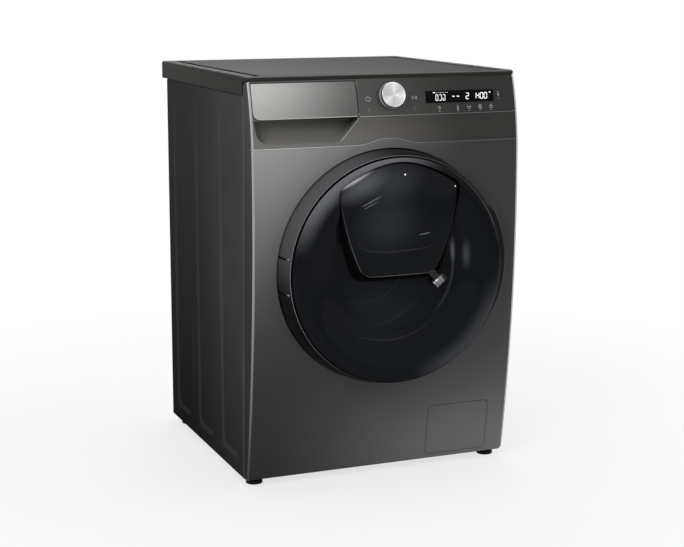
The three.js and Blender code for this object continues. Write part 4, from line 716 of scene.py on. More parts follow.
def adopt(piece, name, look, body, standsFor=(), crease=30):
    # turns a carved tool into a named piece of the machine
    piece.name = name
    piece.data.name = name
    piece.data.materials.clear()
    piece.data.materials.append(finish(look))
    smooth(piece, crease, 0.00001)
    return join(piece, body, standsFor)


corners = {"from": halfCabinet - skin["edgeRound"] - 1, "sheen": 0.22, "return": 0.66}


def paintCornerShading(piece):
    # painted shade on the returns towards the sides, and a painted sheen where the front rolls round into them
    def rolled(face, low, high):
        outside = abs(face.center.x) >= corners["from"] * mm and face.normal.y <= 0.5
        return outside and low < abs(face.normal.x) <= high

    paint(piece, "returnShade", lambda face: rolled(face, corners["return"], 2))
    paint(piece, "cornerSheen", lambda face: rolled(face, corners["sheen"], corners["return"]))


# front panel with its door recess and hatch opening
frontPanel = {"wall": 1.2, "recessRadius": 245.5, "recessY": -262.25, "portholeRadius": 172, "edge": 0.5,
              "eyelets": (-234.5, -222.5), "eyeletSpread": 36, "eyeletHeight": 6}
hatch = {"wall": 2.5, "low": 25.8, "corner": 12.2, "gap": 0.8, "edge": 0.4, "line": 1.3}


def hatchOutline(gap, steps=8):
    return roundedRect(hatchLow.x - gap, hatchHigh.x + gap, hatch["low"] - gap, hatchHigh.z + gap,
                       hatch["corner"] + gap, steps)


def makeFrontPanel():
    centre, wall, deep = (0, doorZ), frontPanel["wall"], frontPanel["recessY"]
    panel = skinShell(wall)
    cup = disc(frontPanel["recessRadius"] + wall, bellyY - 40, deep + wall, centre)
    carve(cup, skinBlock(0), "INTERSECT")
    carve(panel, cup, "UNION")
    carve(panel, disc(frontPanel["recessRadius"], bellyY - 50, deep, centre))
    carve(panel, disc(frontPanel["portholeRadius"], bellyY - 50, -200, centre))
    carve(panel, aboveSeam(-seam["gap"]))
    carve(panel, tool(*prism(hatchOutline(hatch["gap"]), ahead, -220)))
    hookLow, hookHigh = boxOf("latch_hook")
    holes = [(hookLow.x - 2, hookHigh.x + 2, hookLow.z, hookHigh.z)]
    half = frontPanel["eyeletHeight"] / 2
    for side in (-1, 1):
        z = doorZ + side * frontPanel["eyeletSpread"]
        holes.append((*frontPanel["eyelets"], z - half, z + half))
    for hole in holes:
        carve(panel, tool(*brick(*hole, -270, -248)))
    adopt(panel, "bulgedFrontPanel", "graphitePaint", "cabinet", ["front_panel"])
    soften(panel, frontPanel["edge"])
    paintCornerShading(panel)
    polish(panel, skinNormal)


makeFrontPanel()
print("front panel ready")

# control fascia, its finger scoop and seams
fascia = {"wall": 2.5, "edge": 0.6, "scoopLow": 716, "scoopSlope": 7, "scoopDiagonal": 43, "scoopDepth": 28,
          "scoopRound": 26, "flapGap": 1.3, "shaftRadius": 4.5, "windowGap": 0.3, "windowRound": 2.5,
          "cutTo": -142}
knobX = knobLow.x + 27.5  # half its width
knobZ = 804


def drawerOutline(gap):
    left, right, low, top = drawerLow.x, drawerHigh.x, drawerLow.z, drawerHigh.z
    return roundedOutline([(left - gap, low - gap, 15), (right + gap, low - gap, 2),
                           (right - 2 + gap, top + gap, 2), (left - gap, top + gap, 2)])


def scoopTool(grow):
    left, right = drawerLow.x, drawerHigh.x
    low = fascia["scoopLow"] - grow
    high = drawerLow.z - fascia["flapGap"] + grow
    outline = roundedOutline([
        (left + fascia["scoopSlope"] - grow, low, fascia["scoopRound"]),
        (right - fascia["scoopDiagonal"] + grow, low, 6), (right + grow, high, 1), (left - grow, high, 1)])
    deep = skinY(drawerLow.z) + fascia["scoopDepth"] + grow
    lip = skinY(fascia["scoopLow"]) - 1
    side = [(ahead, low), (lip, low)]
    side += quadratic((lip, low), (deep, low + 4), (deep, high), 24)
    side.append((ahead, high))
    body = tool(*slab(side, left - 20, right + 20))
    return carve(body, tool(*prism(outline, ahead, -140)), "INTERSECT")


def makeFascia():
    shell = skinShell(fascia["wall"])
    wall = carve(scoopTool(fascia["wall"]), skinBlock(0), "INTERSECT")
    carve(shell, wall, "UNION")
    carve(shell, aboveSeam(seam["gap"]), "INTERSECT")
    carve(shell, scoopTool(0))
    carve(shell, tool(*prism(drawerOutline(fascia["flapGap"]), ahead, fascia["cutTo"])))
    gap = fascia["windowGap"]
    window = roundedRect(displayLow.x - gap, displayHigh.x + gap, displayLow.z - gap, displayHigh.z + gap,
                         fascia["windowRound"])
    carve(shell, tool(*prism(window, ahead, fascia["cutTo"])))
    carve(shell, disc(fascia["shaftRadius"], ahead, skin["backY"], (knobX, knobZ), 32))
    adopt(shell, "controlFascia", "fasciaMetal", "cabinet", ["control_fascia"])
    soften(shell, fascia["edge"])

    def inScoop(face):
        x, y, z = face.center / mm
        return z < drawerLow.z and x < drawerHigh.x + 3 and y > skinY(z) + 0.9

    paint(shell, "scoopPlastic", inScoop)
    paintCornerShading(shell)
    polish(shell, skinNormal)


makeFascia()


def onSkin(x, z, lift):
    # a point lifted off the front skin, which rounds away at the sides
    y = skinY(z)
    edge = halfCabinet - skin["edgeRound"]
    if abs(x) > edge:
        over = min(skin["edgeRound"], abs(x) - edge)
        y += skin["edgeRound"] - math.sqrt(skin["edgeRound"] ** 2 - over ** 2)
    return (x, y - lift, z)


def ribbon(line, width, lift=0.25, bed=0.15, closed=False):
    # a thin strip that follows a line of x, z on the front skin
    count = len(line)
    rings = []
    for i, (x, z) in enumerate(line):
        if closed:
            a, b = line[i - 1], line[(i + 1) % count]
        else:
            a, b = line[max(0, i - 1)], line[min(count - 1, i + 1)]
        run = Vector((b[0] - a[0], b[1] - a[1]))
        run = run.normalized() if run.length else Vector((1, 0))
        side = Vector((-run.y, run.x)) * width / 2
        rings.append([onSkin(x + side.x * k, z + side.y * k, height)
                      for k, height in ((1, -bed), (0.8, lift), (-0.8, lift), (-1, -bed))])
    return loft(rings + rings[:1], capped=False) if closed else loft(rings)


def bunch(shapes):
    # several closed shapes in one mesh
    points, faces = [], []
    for own, sides in shapes:
        start = len(points)
        points += own
        faces += [tuple(start + i for i in face) for face in sides]
    return points, faces


def densify(line, step=6):
    out = [line[0]]
    for (x0, z0), (x1, z1) in zip(line, line[1:]):
        pieces = max(1, int(math.dist((x0, z0), (x1, z1)) / step))
        out += [(x0 + (x1 - x0) * i / pieces, z0 + (z1 - z0) * i / pieces) for i in range(1, pieces + 1)]
    return out


def makeFasciaHighlightLines():
    # painted highlights: pale lines along the seam, the lower edge of the control field, the drawer's right side
    # and the scoop's slanted edge
    edge, low, right = halfCabinet - 1.2, drawerLow.z, drawerHigh.x
    border = densify([(-edge, fasciaLow.z)] + seamLine(seam["gap"])[1:-1] + [(edge, fasciaLow.z)])
    # lower edge of the control field, rounded up at its right end
    field = densify([(right + 3, low), (halfCabinet - 24, low)], 12)
    field += quadratic((halfCabinet - 24, low), (halfCabinet - 5, low), (halfCabinet - 3, low + 7), 8)
    upright = [(right + 1.4, low + 3), (right + 0.6, drawerHigh.z - 3)]
    diagonal = [(right + 0.5, low - 2), (right - fascia["scoopDiagonal"] + 2, fascia["scoopLow"] + 2)]
    strips = [ribbon(line, width) for line, width in (
        ([(x, z + 0.5) for x, z in border], 1.1), (field, 1.0), (upright, 0.7), (densify(diagonal), 0.8))]
    addPiece("fasciaHighlightLines", *bunch(strips), "seamTrim", "cabinet", "graphite_paint")


makeFasciaHighlightLines()
print("fascia ready")


# drawer front
drawerSet = {"wall": 2.5, "edge": 1.1, "lip": 1.6, "lipInset": 1.2, "lipRound": 16}


def makeDrawerFront():
    wall, inset, bend = drawerSet["wall"], drawerSet["lipInset"], drawerSet["lipRound"]
    plate = skinBlock(0)
    carve(plate, tool(*prism(drawerOutline(0), ahead, drawerHigh.y)), "INTERSECT")
    hollow = skinBlock(wall, -140)
    carve(hollow, tool(*prism(drawerOutline(-wall), ahead, drawerHigh.y + 5)), "INTERSECT")
    carve(plate, hollow)
    adopt(plate, "drawerFrontPlate", "drawerMetal", "drawer", ["drawer_front"])
    soften(plate, drawerSet["edge"], 3)
    polish(plate, skinNormal)
    left, right, low = drawerLow.x, drawerHigh.x, drawerLow.z
    foot = low + inset
    # painted highlight: a pale line along the drawer's lower edge, round its lower left corner
    lip = quadratic((left + inset, low + bend), (left + inset, foot), (left + bend, foot), 8)
    lip += densify([(left + bend, foot), (right - 2, foot)], 12)[1:]
    addPiece("drawerHighlightLine", *ribbon(lip, drawerSet["lip"], 0.2), "edgeTrim", "drawer", "brushed_front")


makeDrawerFront()
print("drawer front ready")


# selector knob
knob = {"skirtRadius": 27.5, "skirtHeight": 6, "radius": 26, "height": 19, "rim": 1.6, "dish": 0.5,
        "foot": 0.6, "steps": 96}
spunFace = {"anisotropic": 0.75, "ringScale": 900, "distortion": 0.6, "smooth": 0.24, "coarse": 0.36,
            "bump": 0.12, "depth": 0.0002,
            "paintedFan": [(0.0, 0.52), (0.10, 0.80), (0.22, 0.50), (0.36, 0.62), (0.47, 0.86), (0.60, 0.54),
                    (0.72, 0.74), (0.86, 0.56), (1.0, 0.52)]}


def knobMetal():
    # turned face: fine rings, with a painted highlight fanning out from the middle as on spun metal
    material, tree, shader = newMaterial("spunMetal")
    shader.inputs["Metallic"].default_value = 1
    shader.inputs["Anisotropic"].default_value = spunFace["anisotropic"]
    place = addNode(tree, "TexCoord").outputs["Object"]
    paintedFan = addNode(tree, "TexGradient", {"gradient_type": "RADIAL"}, None, {"Vector": place})
    colour = addRamp(tree, paintedFan.outputs["Fac"], [(at, (v, v * 1.005, v * 1.015)) for at, v in spunFace["paintedFan"]])
    rings = addNode(tree, "TexWave", {"wave_type": "RINGS", "rings_direction": "SPHERICAL"},
                    {"Scale": spunFace["ringScale"], "Distortion": spunFace["distortion"]},
                    {"Vector": place}).outputs["Fac"]
    rough = addNode(tree, "MapRange", None, {"To Min": spunFace["smooth"], "To Max": spunFace["coarse"]},
                    {"Value": rings})
    bump = addNode(tree, "Bump", None, {"Strength": spunFace["bump"], "Distance": spunFace["depth"]},
                   {"Height": rings})
    tangent = addNode(tree, "Tangent", {"axis": "Z"})
    for socket, source in (("Base Color", colour), ("Roughness", rough.outputs["Result"]),
                           ("Normal", bump.outputs["Normal"]), ("Tangent", tangent.outputs["Tangent"])):
        tree.links.new(source, shader.inputs[socket])
    return material


def makeKnob():
    r, h, skirt, step = knob["radius"], knob["height"], knob["skirtRadius"], knob["skirtHeight"]
    face, rim = h - knob["dish"], r - knob["rim"] - 1.0
    profile = [(0.02, knob["foot"]), (skirt - 0.6, knob["foot"]), (skirt, 1.4), (skirt, step - 1),
               (skirt - 0.3, step - 0.3), (r + 0.2, step), (r - 0.2, step + 0.6), (r - 0.1, h - 2.2)]
    for i in range(6):
        angle = math.radians(18 * i)
        profile.append((r - 0.1 - 1.5 * (1 - math.cos(angle)), h - 1.6 + 1.5 * math.sin(angle)))
    profile.append((rim + 0.4, h - 0.1))
    profile += [(rim * (1 - i / 5), face) for i in range(5)]
    profile.append((0.02, face))
    piece = newObject("selectorKnob", *loft(spun(profile, (0, 0), knob["steps"])))
    piece.data.materials.append(knobMetal())
    smooth(piece, 30)
    paint(piece, "knobSkirt", lambda face: face.center.z < (step + 0.3) * mm)
    turn = skinNormal(Vector((0, 0, knobZ))).to_track_quat("Z", "Y").to_matrix().to_4x4()
    piece.matrix_world = Matrix.Translation(Vector((knobX, skinY(knobZ), knobZ)) * mm) @ turn
    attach(piece, "knob")
    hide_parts("selector_knob")


finishes["knobSkirt"] = plain((0.2, 0.2, 0.195), 0.8, 0.34, 0.5, (0.06, 30), (0.05, 900))
makeKnob()
print("knob ready")


# display and printed symbols
display = {"digitHeight": 11.5, "digitWidth": 6.2, "stroke": 1.5, "lean": 0.10, "lift": 0.35, "gap": 0.5,
           "digits": [("2", 182), ("1", 199), ("4", 206), ("0", 215), ("0", 224)],
           "dashes": [150, 160], "row": 799.5, "barRow": 808, "glow": 0.9}
segments = {"0": "abcdef", "1": "bc", "2": "abged", "4": "fgbc"}


def segmentLine(which, x, z):
    w, h, gap = display["digitWidth"] / 2, display["digitHeight"] / 2, display["gap"]
    if which in "adg":
        v = {"a": h, "d": -h, "g": 0}[which]
        ends = ((-w + gap, v), (w - gap, v))
    else:
        u = w if which in "bc" else -w
        ends = ((u, h - gap), (u, gap)) if which in "bf" else ((u, -gap), (u, -h + gap))
    return [(x + u + v * display["lean"], z + v) for u, v in ends]


def glowing(name, colour, strength):
    material, tree, shader = newMaterial(name)
    place = addNode(tree, "TexCoord").outputs["Object"]
    spread = addNode(tree, "TexNoise", None, {"Scale": 260}, {"Vector": place})
    shade = addRamp(tree, spread.outputs["Fac"], [(0, [c * 0.85 for c in colour]), (1, colour)])
    for socket in ("Base Color", "Emission Color"):
        tree.links.new(shade, shader.inputs[socket])
    shader.inputs["Emission Strength"].default_value = strength
    shader.inputs["Roughness"].default_value = 0.4
    return material


def stroke(points, width):
    return ribbon(densify(points, 4), width, display["lift"], -0.1)


def strokes(*lines):
    return [stroke(points, width) for points, width in lines]


def makeDisplay():
    row, bar = display["row"], display["barRow"]
    shapes = []
    for digit, x in display["digits"]:
        shapes += [stroke(segmentLine(which, x, row), display["stroke"]) for which in segments[digit]]
    shapes += [stroke([(x - 2.6, row), (x + 2.6, row)], 1.8) for x in display["dashes"]]
    # progress bar at the top left, then the course number below it and a small dot at the right
    shapes.append(stroke([(104, bar), (109, bar)], 1.8))
    shapes += [stroke([(x, bar), (x + 1.2, bar)], 1.0) for x in range(112, 139, 4)]
    for x in (112, 120, 128):
        for which in "abcdefg"[:4 + (x // 8) % 3]:
            line = segmentLine(which, x, row - 1.5)
            shapes.append(stroke([(px * 0.8 + x * 0.2, pz) for px, pz in line], 1.3))
    shapes.append(stroke([(233, bar - 2), (236, bar - 2)], 2.6))
    piece = addPiece("displayDigits", *bunch(shapes), "iconPrint", "cabinet", "white_plastic")
    piece.data.materials[0] = glowing("displayGlow", (0.85, 0.87, 0.88), display["glow"])


def circleLine(x, z, radius, start=0, end=360, steps=16):
    turns = [math.radians(start + (end - start) * i / steps) for i in range(steps + 1)]
    return [(x + radius * math.cos(turn), z + radius * math.sin(turn)) for turn in turns]


icons = {"stroke": 0.9, "row": 777, "places": (116, 158, 184, 210, 235)}


def makeIcons():
    w, z, row = icons["stroke"], display["row"], icons["row"]
    # power, pause, drop, thermometer, basin, spin, timer and a mark at the right
    shapes = strokes(
        (circleLine(-42, z, 4.6, -240, 60), w), ([(-42, z + 2), (-42, z + 6)], w),
        ([(56, z + 3.6), (56, z - 3.6), (61, z), (56, z + 3.6)], w),
        ([(63.5, z + 3.6), (63.5, z - 3.6)], w), ([(66, z + 3.6), (66, z - 3.6)], w),
        ([(116, row + 4), (119, row), (116, row - 3), (113, row), (116, row + 4)], w),
        ([(158, row + 4.5), (158, row - 1)], w * 1.5), (circleLine(158, row - 2.4, 1.6), w),
        ([(180, row + 3), (181.5, row - 3), (186.5, row - 3), (188, row + 3)], w),
        ([(181, row + 0.5), (187, row + 0.5)], w),
        (circleLine(210, row, 3.8, 20, 340), w), (circleLine(210, row, 1.3), w),
        (circleLine(235, row - 0.5, 3.2), w), ([(235, row + 3), (235, row + 5)], w),
        ([(235, row - 0.5), (237, row + 1)], w),
        ([(251.5, z + 6), (256.5, z + 6)], w), ([(254, z + 3.5), (254, z - 2)], w * 1.4),
        ([(251.5, z + 1), (256.5, z + 1)], w), ([(253, z - 6), (255, z - 6)], w),
        *(([(x - 1.6, row - 7), (x + 1.6, row - 7)], 0.8) for x in icons["places"]))
    addPiece("fieldIcons", *bunch(shapes), "iconPrint", "cabinet", "white_plastic")
    faint = strokes((circleLine(-41, row + 1, 2.6, 0, 270), 0.6), ([(58, row - 1), (62, row + 4)], 0.6),
                    ([(57, row - 2.5), (60, row - 2.5)], 0.6))
    addPiece("faintIcons", *bunch(faint), "faintPrint", "cabinet", "white_plastic")


finishes["faintPrint"] = plain((0.3, 0.3, 0.28), 0, 0.5, 0.5, (0.08, 60), (0.02, 600))
makeDisplay()
makeIcons()
print("display and symbols ready")

# worktop
worktop = {"corner": 14, "round": 4, "border": 25, "shelf": 20, "shelfThickness": 4, "wall": 3, "groove": 13,
           "boardEdge": 1.0, "frontShare": 0.3}


def worktopRing(inset, z):
    # the border is narrower along the front
    radius = max(2, worktop["corner"] - inset / 2)
    front = min(inset, worktop["round"]) + max(0, inset - worktop["round"]) * worktop["frontShare"]
    outline = roundedRect(topLow.x + inset, topHigh.x - inset, topLow.y + front, topHigh.y - inset, radius, 6)
    return [(x, y, z) for x, y in outline]


def makeWorktop():
    low, high, board = topLow.z, topHigh.z, boardLow.z - 0.3
    bend, border, wall = worktop["round"], worktop["border"], worktop["wall"]
    shelf, under = border + worktop["shelf"], board - worktop["shelfThickness"]
    profile = [(0.8, low), (0, low + 0.8), (0, high - bend)]
    for i in range(1, 6):
        angle = math.radians(18 * i)
        profile.append((bend * (1 - math.cos(angle)), high - bend * (1 - math.sin(angle))))
    profile += [(border - 0.8, high), (border, high - 0.8), (border, board), (shelf, board), (shelf, under),
                (wall, under), (wall, low)]
    rings = [worktopRing(inset, z) for inset, z in profile]
    rim = tool(*loft(rings + rings[:1], capped=False))
    # room for the fascia's top, ahead of the side panels
    back, top = edgeY(800) + 0.3, fasciaHigh.z + 0.3
    carve(rim, tool(*slab([(-far, 700), (back, 700), (back, top), (-far, top)], -far, far)))
    adopt(rim, "worktopRim", "topRim", "cabinet", ["worktop_frame"], 26)
    # painted highlight on the rim's front rounding
    paint(rim, "rimHighlight", lambda face: face.normal.y < -0.25 and face.normal.z > 0.25)
    edge = worktop["boardEdge"]
    inner = border + worktop["groove"]
    steps = [(border + 0.3, boardLow.z), (border + 0.3, high - 5), (inner, high - 5), (inner, high - edge),
             (inner + edge * 0.3, high - edge * 0.3), (inner + edge, high)]
    board = addPiece("worktopBoard", *loft([worktopRing(inset, z) for inset, z in steps]), "topLaminate",
                     "cabinet", "top_laminate", ["worktop_board"], 26)
    # the groove round the board lies in shade, and the board's top is dead flat
    paint(board, "shadowGap", lambda face: face.center.z < (high - 1.2) * mm)
    for face in board.data.polygons:
        if face.material_index == 0 and face.normal.z > 0.999:
            face.use_smooth = False


finishes["topRim"] = plain((0.031, 0.03, 0.027), 0.0, 0.5, 0.02, (0.05, 5), (0.08, 1000))
# painted highlight of the worktop rim's front rounding
finishes["rimHighlight"] = plain((0.11, 0.108, 0.098), 0.0, 0.5, 0.1, (0.05, 5), (0.08, 1000))
makeWorktop()


# side panels with three pressings
side = {"thickness": 1.2, "fold": 14, "round": 3, "pressingWidth": 125, "pitch": 169.5, "depth": 3.0,
        "corner": 28, "low": 46, "high": 777, "slope": 13, "fade": 38,
        "stations": (-2, 0, 1.5, 3, 4.5, 6, 8, 11, 15, 20, 27)}


def pressingDepth(y, z, middle):
    deepest = 0.0
    low, high, corner = side["low"], side["high"], side["corner"]
    for step in (-1, 0, 1):
        dy = abs(y - middle - step * side["pitch"]) - side["pressingWidth"] / 2 + corner
        dz = abs(z - (low + high) / 2) - (high - low) / 2 + corner
        outside = math.hypot(max(dy, 0), max(dz, 0)) + min(max(dy, dz), 0) - corner
        share = min(1.0, max(0.0, -outside / side["slope"]))
        deepest = max(deepest, share * share * (3 - 2 * share))
    return deepest * side["depth"]


def makeSidePanel(node, name, sign):
    low, high = boxOf(node)
    middle = (high.y + edgeY(skin["edgeTopZ"])) / 2
    ys, zs = set(), set(range(90, 740, 50))
    for step in (-1, 0, 1):
        for edge in (-1, 1):
            at = middle + step * side["pitch"] + edge * side["pressingWidth"] / 2
            ys.update(round(at - edge * d, 2) for d in side["stations"])
    for at, way in ((side["low"], 1), (side["high"], -1)):
        zs.update(at + way * d for d in side["stations"])
    fold = [(0, side["fold"]), (0, 3), (0.25, 1.85), (0.9, 0.9), (1.85, 0.25), (3, 0)]

    def stations(start, end, inner):
        # where the sheet is drawn, with how far it is folded in there
        margin = side["round"] + 2
        line = [(start + d, drop) for d, drop in fold]
        line += [(at, 0) for at in sorted(inner) if start + margin < at < end - margin]
        return line + [(end - d, drop) for d, drop in reversed(fold)]

    columns, rows = stations(low.y, high.y, ys), stations(low.z, high.z, zs)
    points, faces = [], []
    for z, dropZ in rows:
        slant = edgeY(z) - edgeY(skin["edgeTopZ"])
        for y, dropY in columns:
            fade = max(0.0, 1 - (y - low.y) / side["fade"])
            inward = dropY + dropZ + pressingDepth(y, z, middle)
            points.append((sign * (halfCabinet - inward), y + slant * fade, z))
    wide = len(columns)
    for j in range(len(rows) - 1):
        for i in range(wide - 1):
            a = j * wide + i
            faces.append((a, a + 1, a + 1 + wide, a + wide))
    piece = addPiece(name, points, faces, "sidePaint", "cabinet", "side_paint", [node], 50)
    shape = bmesh.new()
    shape.from_mesh(piece.data)
    for face in shape.faces:
        if face.normal.x * sign < -0.2:
            face.normal_flip()
    shape.to_mesh(piece.data)
    shape.free()
    sheet = piece.modifiers.new("sheet", "SOLIDIFY")
    sheet.thickness = side["thickness"] * mm
    sheet.offset = -1
    settle(piece)

    # painted highlight: the faces of the front edge's rounding get a paler finish
    def edgeHighlightFaces(face):
        x, y, z = face.center / mm
        return -0.97 < face.normal.y < -0.30 and abs(x) > halfCabinet - 2.2 and y < edgeY(z) + 5

    # painted highlight: the pressings' slopes that face the front or upwards get a paler finish
    def pressingHighlightFaces(face):
        nx, ny, nz = face.normal
        slanted = ny < -0.08 or nz > 0.08 and ny < 0.03
        inside = face.material_index == 0 and face.center.z / mm < side["high"] - 14
        return inside and nx * sign > 0.8 and slanted

    paint(piece, "sideEdgeHighlight", edgeHighlightFaces)
    paint(piece, "pressingHighlight", pressingHighlightFaces)


makeSidePanel("side_panel_left", "leftSidePanel", -1)
makeSidePanel("side_panel_right", "rightSidePanel", 1)
print("worktop and sides ready")


# door ring with its grip
ring = {"radius": 243.5, "taper": 8.5, "wall": 3, "gripFrom": 29, "gripTo": -46, "gripRise": 6.5,
        "gripBackY": -302.25, "gripFrontY": -330.25, "gripRound": 4, "steps": 240,
        "drops": ((0, -4.5), (0.035, -1.6), (0.1, 0), (0.41, 0), (0.61, -1.8), (0.77, -4.1), (0.86, -5.8),
                  (0.945, -7.5), (1, -8.5))}
doorCentre = (0, doorZ)


def ringRadius(y):
    # outer radius of the ring at a depth, from its back edge to its front
    back, deep = ringHigh.y, ringHigh.y - ringLow.y
    knots = [(back - deep * share, drop) for share, drop in ring["drops"]]
    for (y0, d0), (y1, d1) in zip(knots, knots[1:]):
        if y1 <= y <= y0:
            return ring["radius"] + d0 + (d1 - d0) * (y0 - y) / (y0 - y1)
    return ring["radius"] + knots[-1][1]


def gripSwell(angle, y):
    degrees = (math.degrees(angle) + 180) % 360 - 180
    if not ring["gripTo"] < degrees < ring["gripFrom"] + 1.2:
        return 0.0
    share = min(1.0, max(0.0, (ring["gripFrom"] - degrees) / (ring["gripFrom"] - ring["gripTo"])))
    swell = max(0.0, math.cos(share ** 1.5 * math.pi / 2)) ** 1.2
    swell *= min(1.0, max(0.0, (ring["gripFrom"] + 1.2 - degrees) / 2.4))
    depth = min(ring["gripBackY"] - y, y - ring["gripFrontY"])
    if depth <= 0:
        return 0.0
    ease = min(1.0, depth / ring["gripRound"])
    return swell * math.sqrt(1 - (1 - ease) ** 2)


def ringGrow(angle, r, y):
    if r < ring["radius"] - ring["taper"] - 0.2 or y > ring["gripBackY"] or y < ring["gripFrontY"]:
        return 0.0
    return max(0.0, (ring["radius"] + ring["gripRise"] - r) * gripSwell(angle, y))


# room for the two ears of the hinge
hingeSlot = {"spread": 36, "height": 4.8, "inner": -222.7, "front": -331.6}


def makeDoorRing():
    back, front, bend = ringHigh.y, ringLow.y, ring["gripRound"]
    depths = {back - d for d in (0, 1.2, 2.5, 4.5, 7.1, 9)}
    depths |= {ring["gripBackY"] - d for d in (-0.6, 0.3, bend * 0.2, bend * 0.5, bend, 9, 14, 20)}
    depths |= {ring["gripFrontY"] + d for d in (bend, bend * 0.5, bend * 0.2, 0.3, -0.6)}
    depths |= {front + d for d in (2.2, 0.8, 0)}
    outer = [(ringRadius(y), y) for y in sorted(depths, reverse=True)]
    cover = (coverHigh.x - coverLow.x) / 2
    inner = [(cover + 0.9, front + 0.15), (cover + 0.3, front + 0.8), (cover + 0.3, front + 5.3),
             (cover - 8, front + 5.3), (cover - 8, front + 8.3), (ringRadius(front + 12) - 3, front + 9.3)]
    inner += [(ringRadius(y) - ring["wall"], y) for y in (front + 20, front + 30, back - 28, back - 8, back)]
    piece = tool(*turned(outer + inner, doorCentre, ring["steps"], ringGrow))
    half = hingeSlot["height"] / 2
    for way in (-1, 1):
        z = doorZ + way * hingeSlot["spread"]
        sides = [(-ring["radius"] - 10, hingeSlot["front"]), (hingeSlot["inner"], hingeSlot["front"]),
                 (hingeSlot["inner"], back + 5), (-ring["radius"] - 10, back + 5)]
        carve(piece, tool(*loft([[(x, y, z + high) for x, y in sides] for high in (-half, half)])))
    adopt(piece, "doorRing", "ringPlastic", "door", ["door_ring"], 34)
    lip = ring["radius"] - ring["taper"]
    rim = [(lip + 0.1, front + 0.5), (lip - 0.25, front - 0.05), (cover + 0.5, front - 0.05),
           (cover + 0.35, front + 0.5)]
    # the rim line between ring and cover, with a painted highlight in its finish
    addPiece("ringRim", *turned(rim, doorCentre, 200), "rimLine", "door", "dark_plastic")


makeDoorRing()


# tinted cover with the pocket of the small door
cover = {"radius": 233.5, "crestRadius": 213.5, "dishRadius": 120, "dish": 23, "rimDrop": 10, "wall": 4,
         "pocketY": -320.25, "pocketWall": 2.5, "gap": 2, "steps": 160}
pierce = (-420, -300)  # from before the cover to behind it
small = {"top": 266, "bottom": 166, "waist": 242, "shoulder": 627, "waistZ": 550, "topRound": 15,
         "bottomRound": 25, "pocketFoot": 10, "pocketDrop": 9, "domeRadius": 900, "wall": 3.5, "edge": 4.2}


def coverY(r):
    crest = coverLow.y
    if r >= cover["crestRadius"]:
        share = (r - cover["crestRadius"]) / (cover["radius"] - cover["crestRadius"])
        return crest + cover["rimDrop"] * (1 - math.sqrt(max(0.0, 1 - share ** 2.4)))
    if r <= cover["dishRadius"]:
        return crest + cover["dish"]
    share = (cover["crestRadius"] - r) / (cover["crestRadius"] - cover["dishRadius"])
    return crest + cover["dish"] * (1 - math.cos(share * math.pi)) / 2


def coverNormal(point):
    x, z = point.x, point.z - doorZ
    r = math.hypot(x, z)
    if r < 1e-6:
        return Vector((0, -1, 0))
    outer = min(r + 0.5, cover["radius"])
    slope = (coverY(outer) - coverY(r - 0.5)) / (outer - r + 0.5)
    return Vector((slope * x / r, -1, slope * z / r)).normalized()


def smallOutline(grow, steps=14, wider=0, lower=0):
    half = small["top"] / 2 + grow
    waist = small["waist"] / 2 + grow + wider / 2
    foot = small["bottom"] / 2 + grow + wider
    low, shoulder, peak = smallLow.z - grow - lower, small["shoulder"] + grow / 2, smallHigh.z + grow
    top, bottom = small["topRound"] + grow, small["bottomRound"] + grow
    right = [(foot - bottom, low)]
    for bend, end in (((foot, low), (foot + bottom * 0.35, low + bottom)),
                      ((waist - 1, small["waistZ"] - 20), (half - 2, shoulder - top)),
                      ((half, shoulder), (half - top * 0.8, shoulder + top * 0.55)),
                      ((half * 0.38, peak), (0, peak))):
        right += quadratic(right[-1], bend, end, steps)
    return right + [(-x, z) for x, z in reversed(right[:-1])]


def pocketOutline(grow):
    # the pocket is a little wider and lower at its foot than the small door
    return smallOutline(grow, 14, small["pocketFoot"], small["pocketDrop"])


def throatOutline():
    top, foot = small["top"] / 2 - 27, small["bottom"] / 2 - 2
    low, high = smallLow.z + 27, smallHigh.z - 27
    return roundedOutline([(-foot, low, 20), (foot, low, 20), (top, high - 22, 16), (0, high, 60),
                           (-top, high - 22, 16)])


def makeCover():
    edge, crest, dish = cover["radius"], cover["crestRadius"], cover["dishRadius"]
    radii = [60, 110] + [dish + (crest - dish) * i / 26 for i in range(27)]
    radii += [edge - d for d in (19, 16.5, 13.5, 10.5, 7.5, 5, 3, 1.5, 0.6, 0.2, 0)]
    front = [(0.02, coverY(0))] + [(r, coverY(r)) for r in radii]
    rimBack = front[-1][1] + 5
    back = [(edge, rimBack), (edge - 8.5, rimBack)]
    back += [(r, coverY(r) + cover["wall"]) for r in (crest, 200, 185, 168, 150, 133, dish)]
    back.append((0.02, coverY(0) + cover["wall"]))
    shell = tool(*turned(front + back, doorCentre, cover["steps"], closed=False))
    carve(shell, tool(*prism(pocketOutline(cover["gap"]), *pierce)))
    adopt(shell, "tintedCover", "tintedCover", "door", ["door_cover"], 24)
    soften(shell, 0.7, 2, 50)

    def inJoint(face):
        # the dark joint inside the rim line
        return math.hypot(face.center.x / mm, face.center.z / mm - doorZ) > cover["radius"] - 2.6

    paint(shell, "shadowGap", inJoint)
    polish(shell, coverNormal, 20)


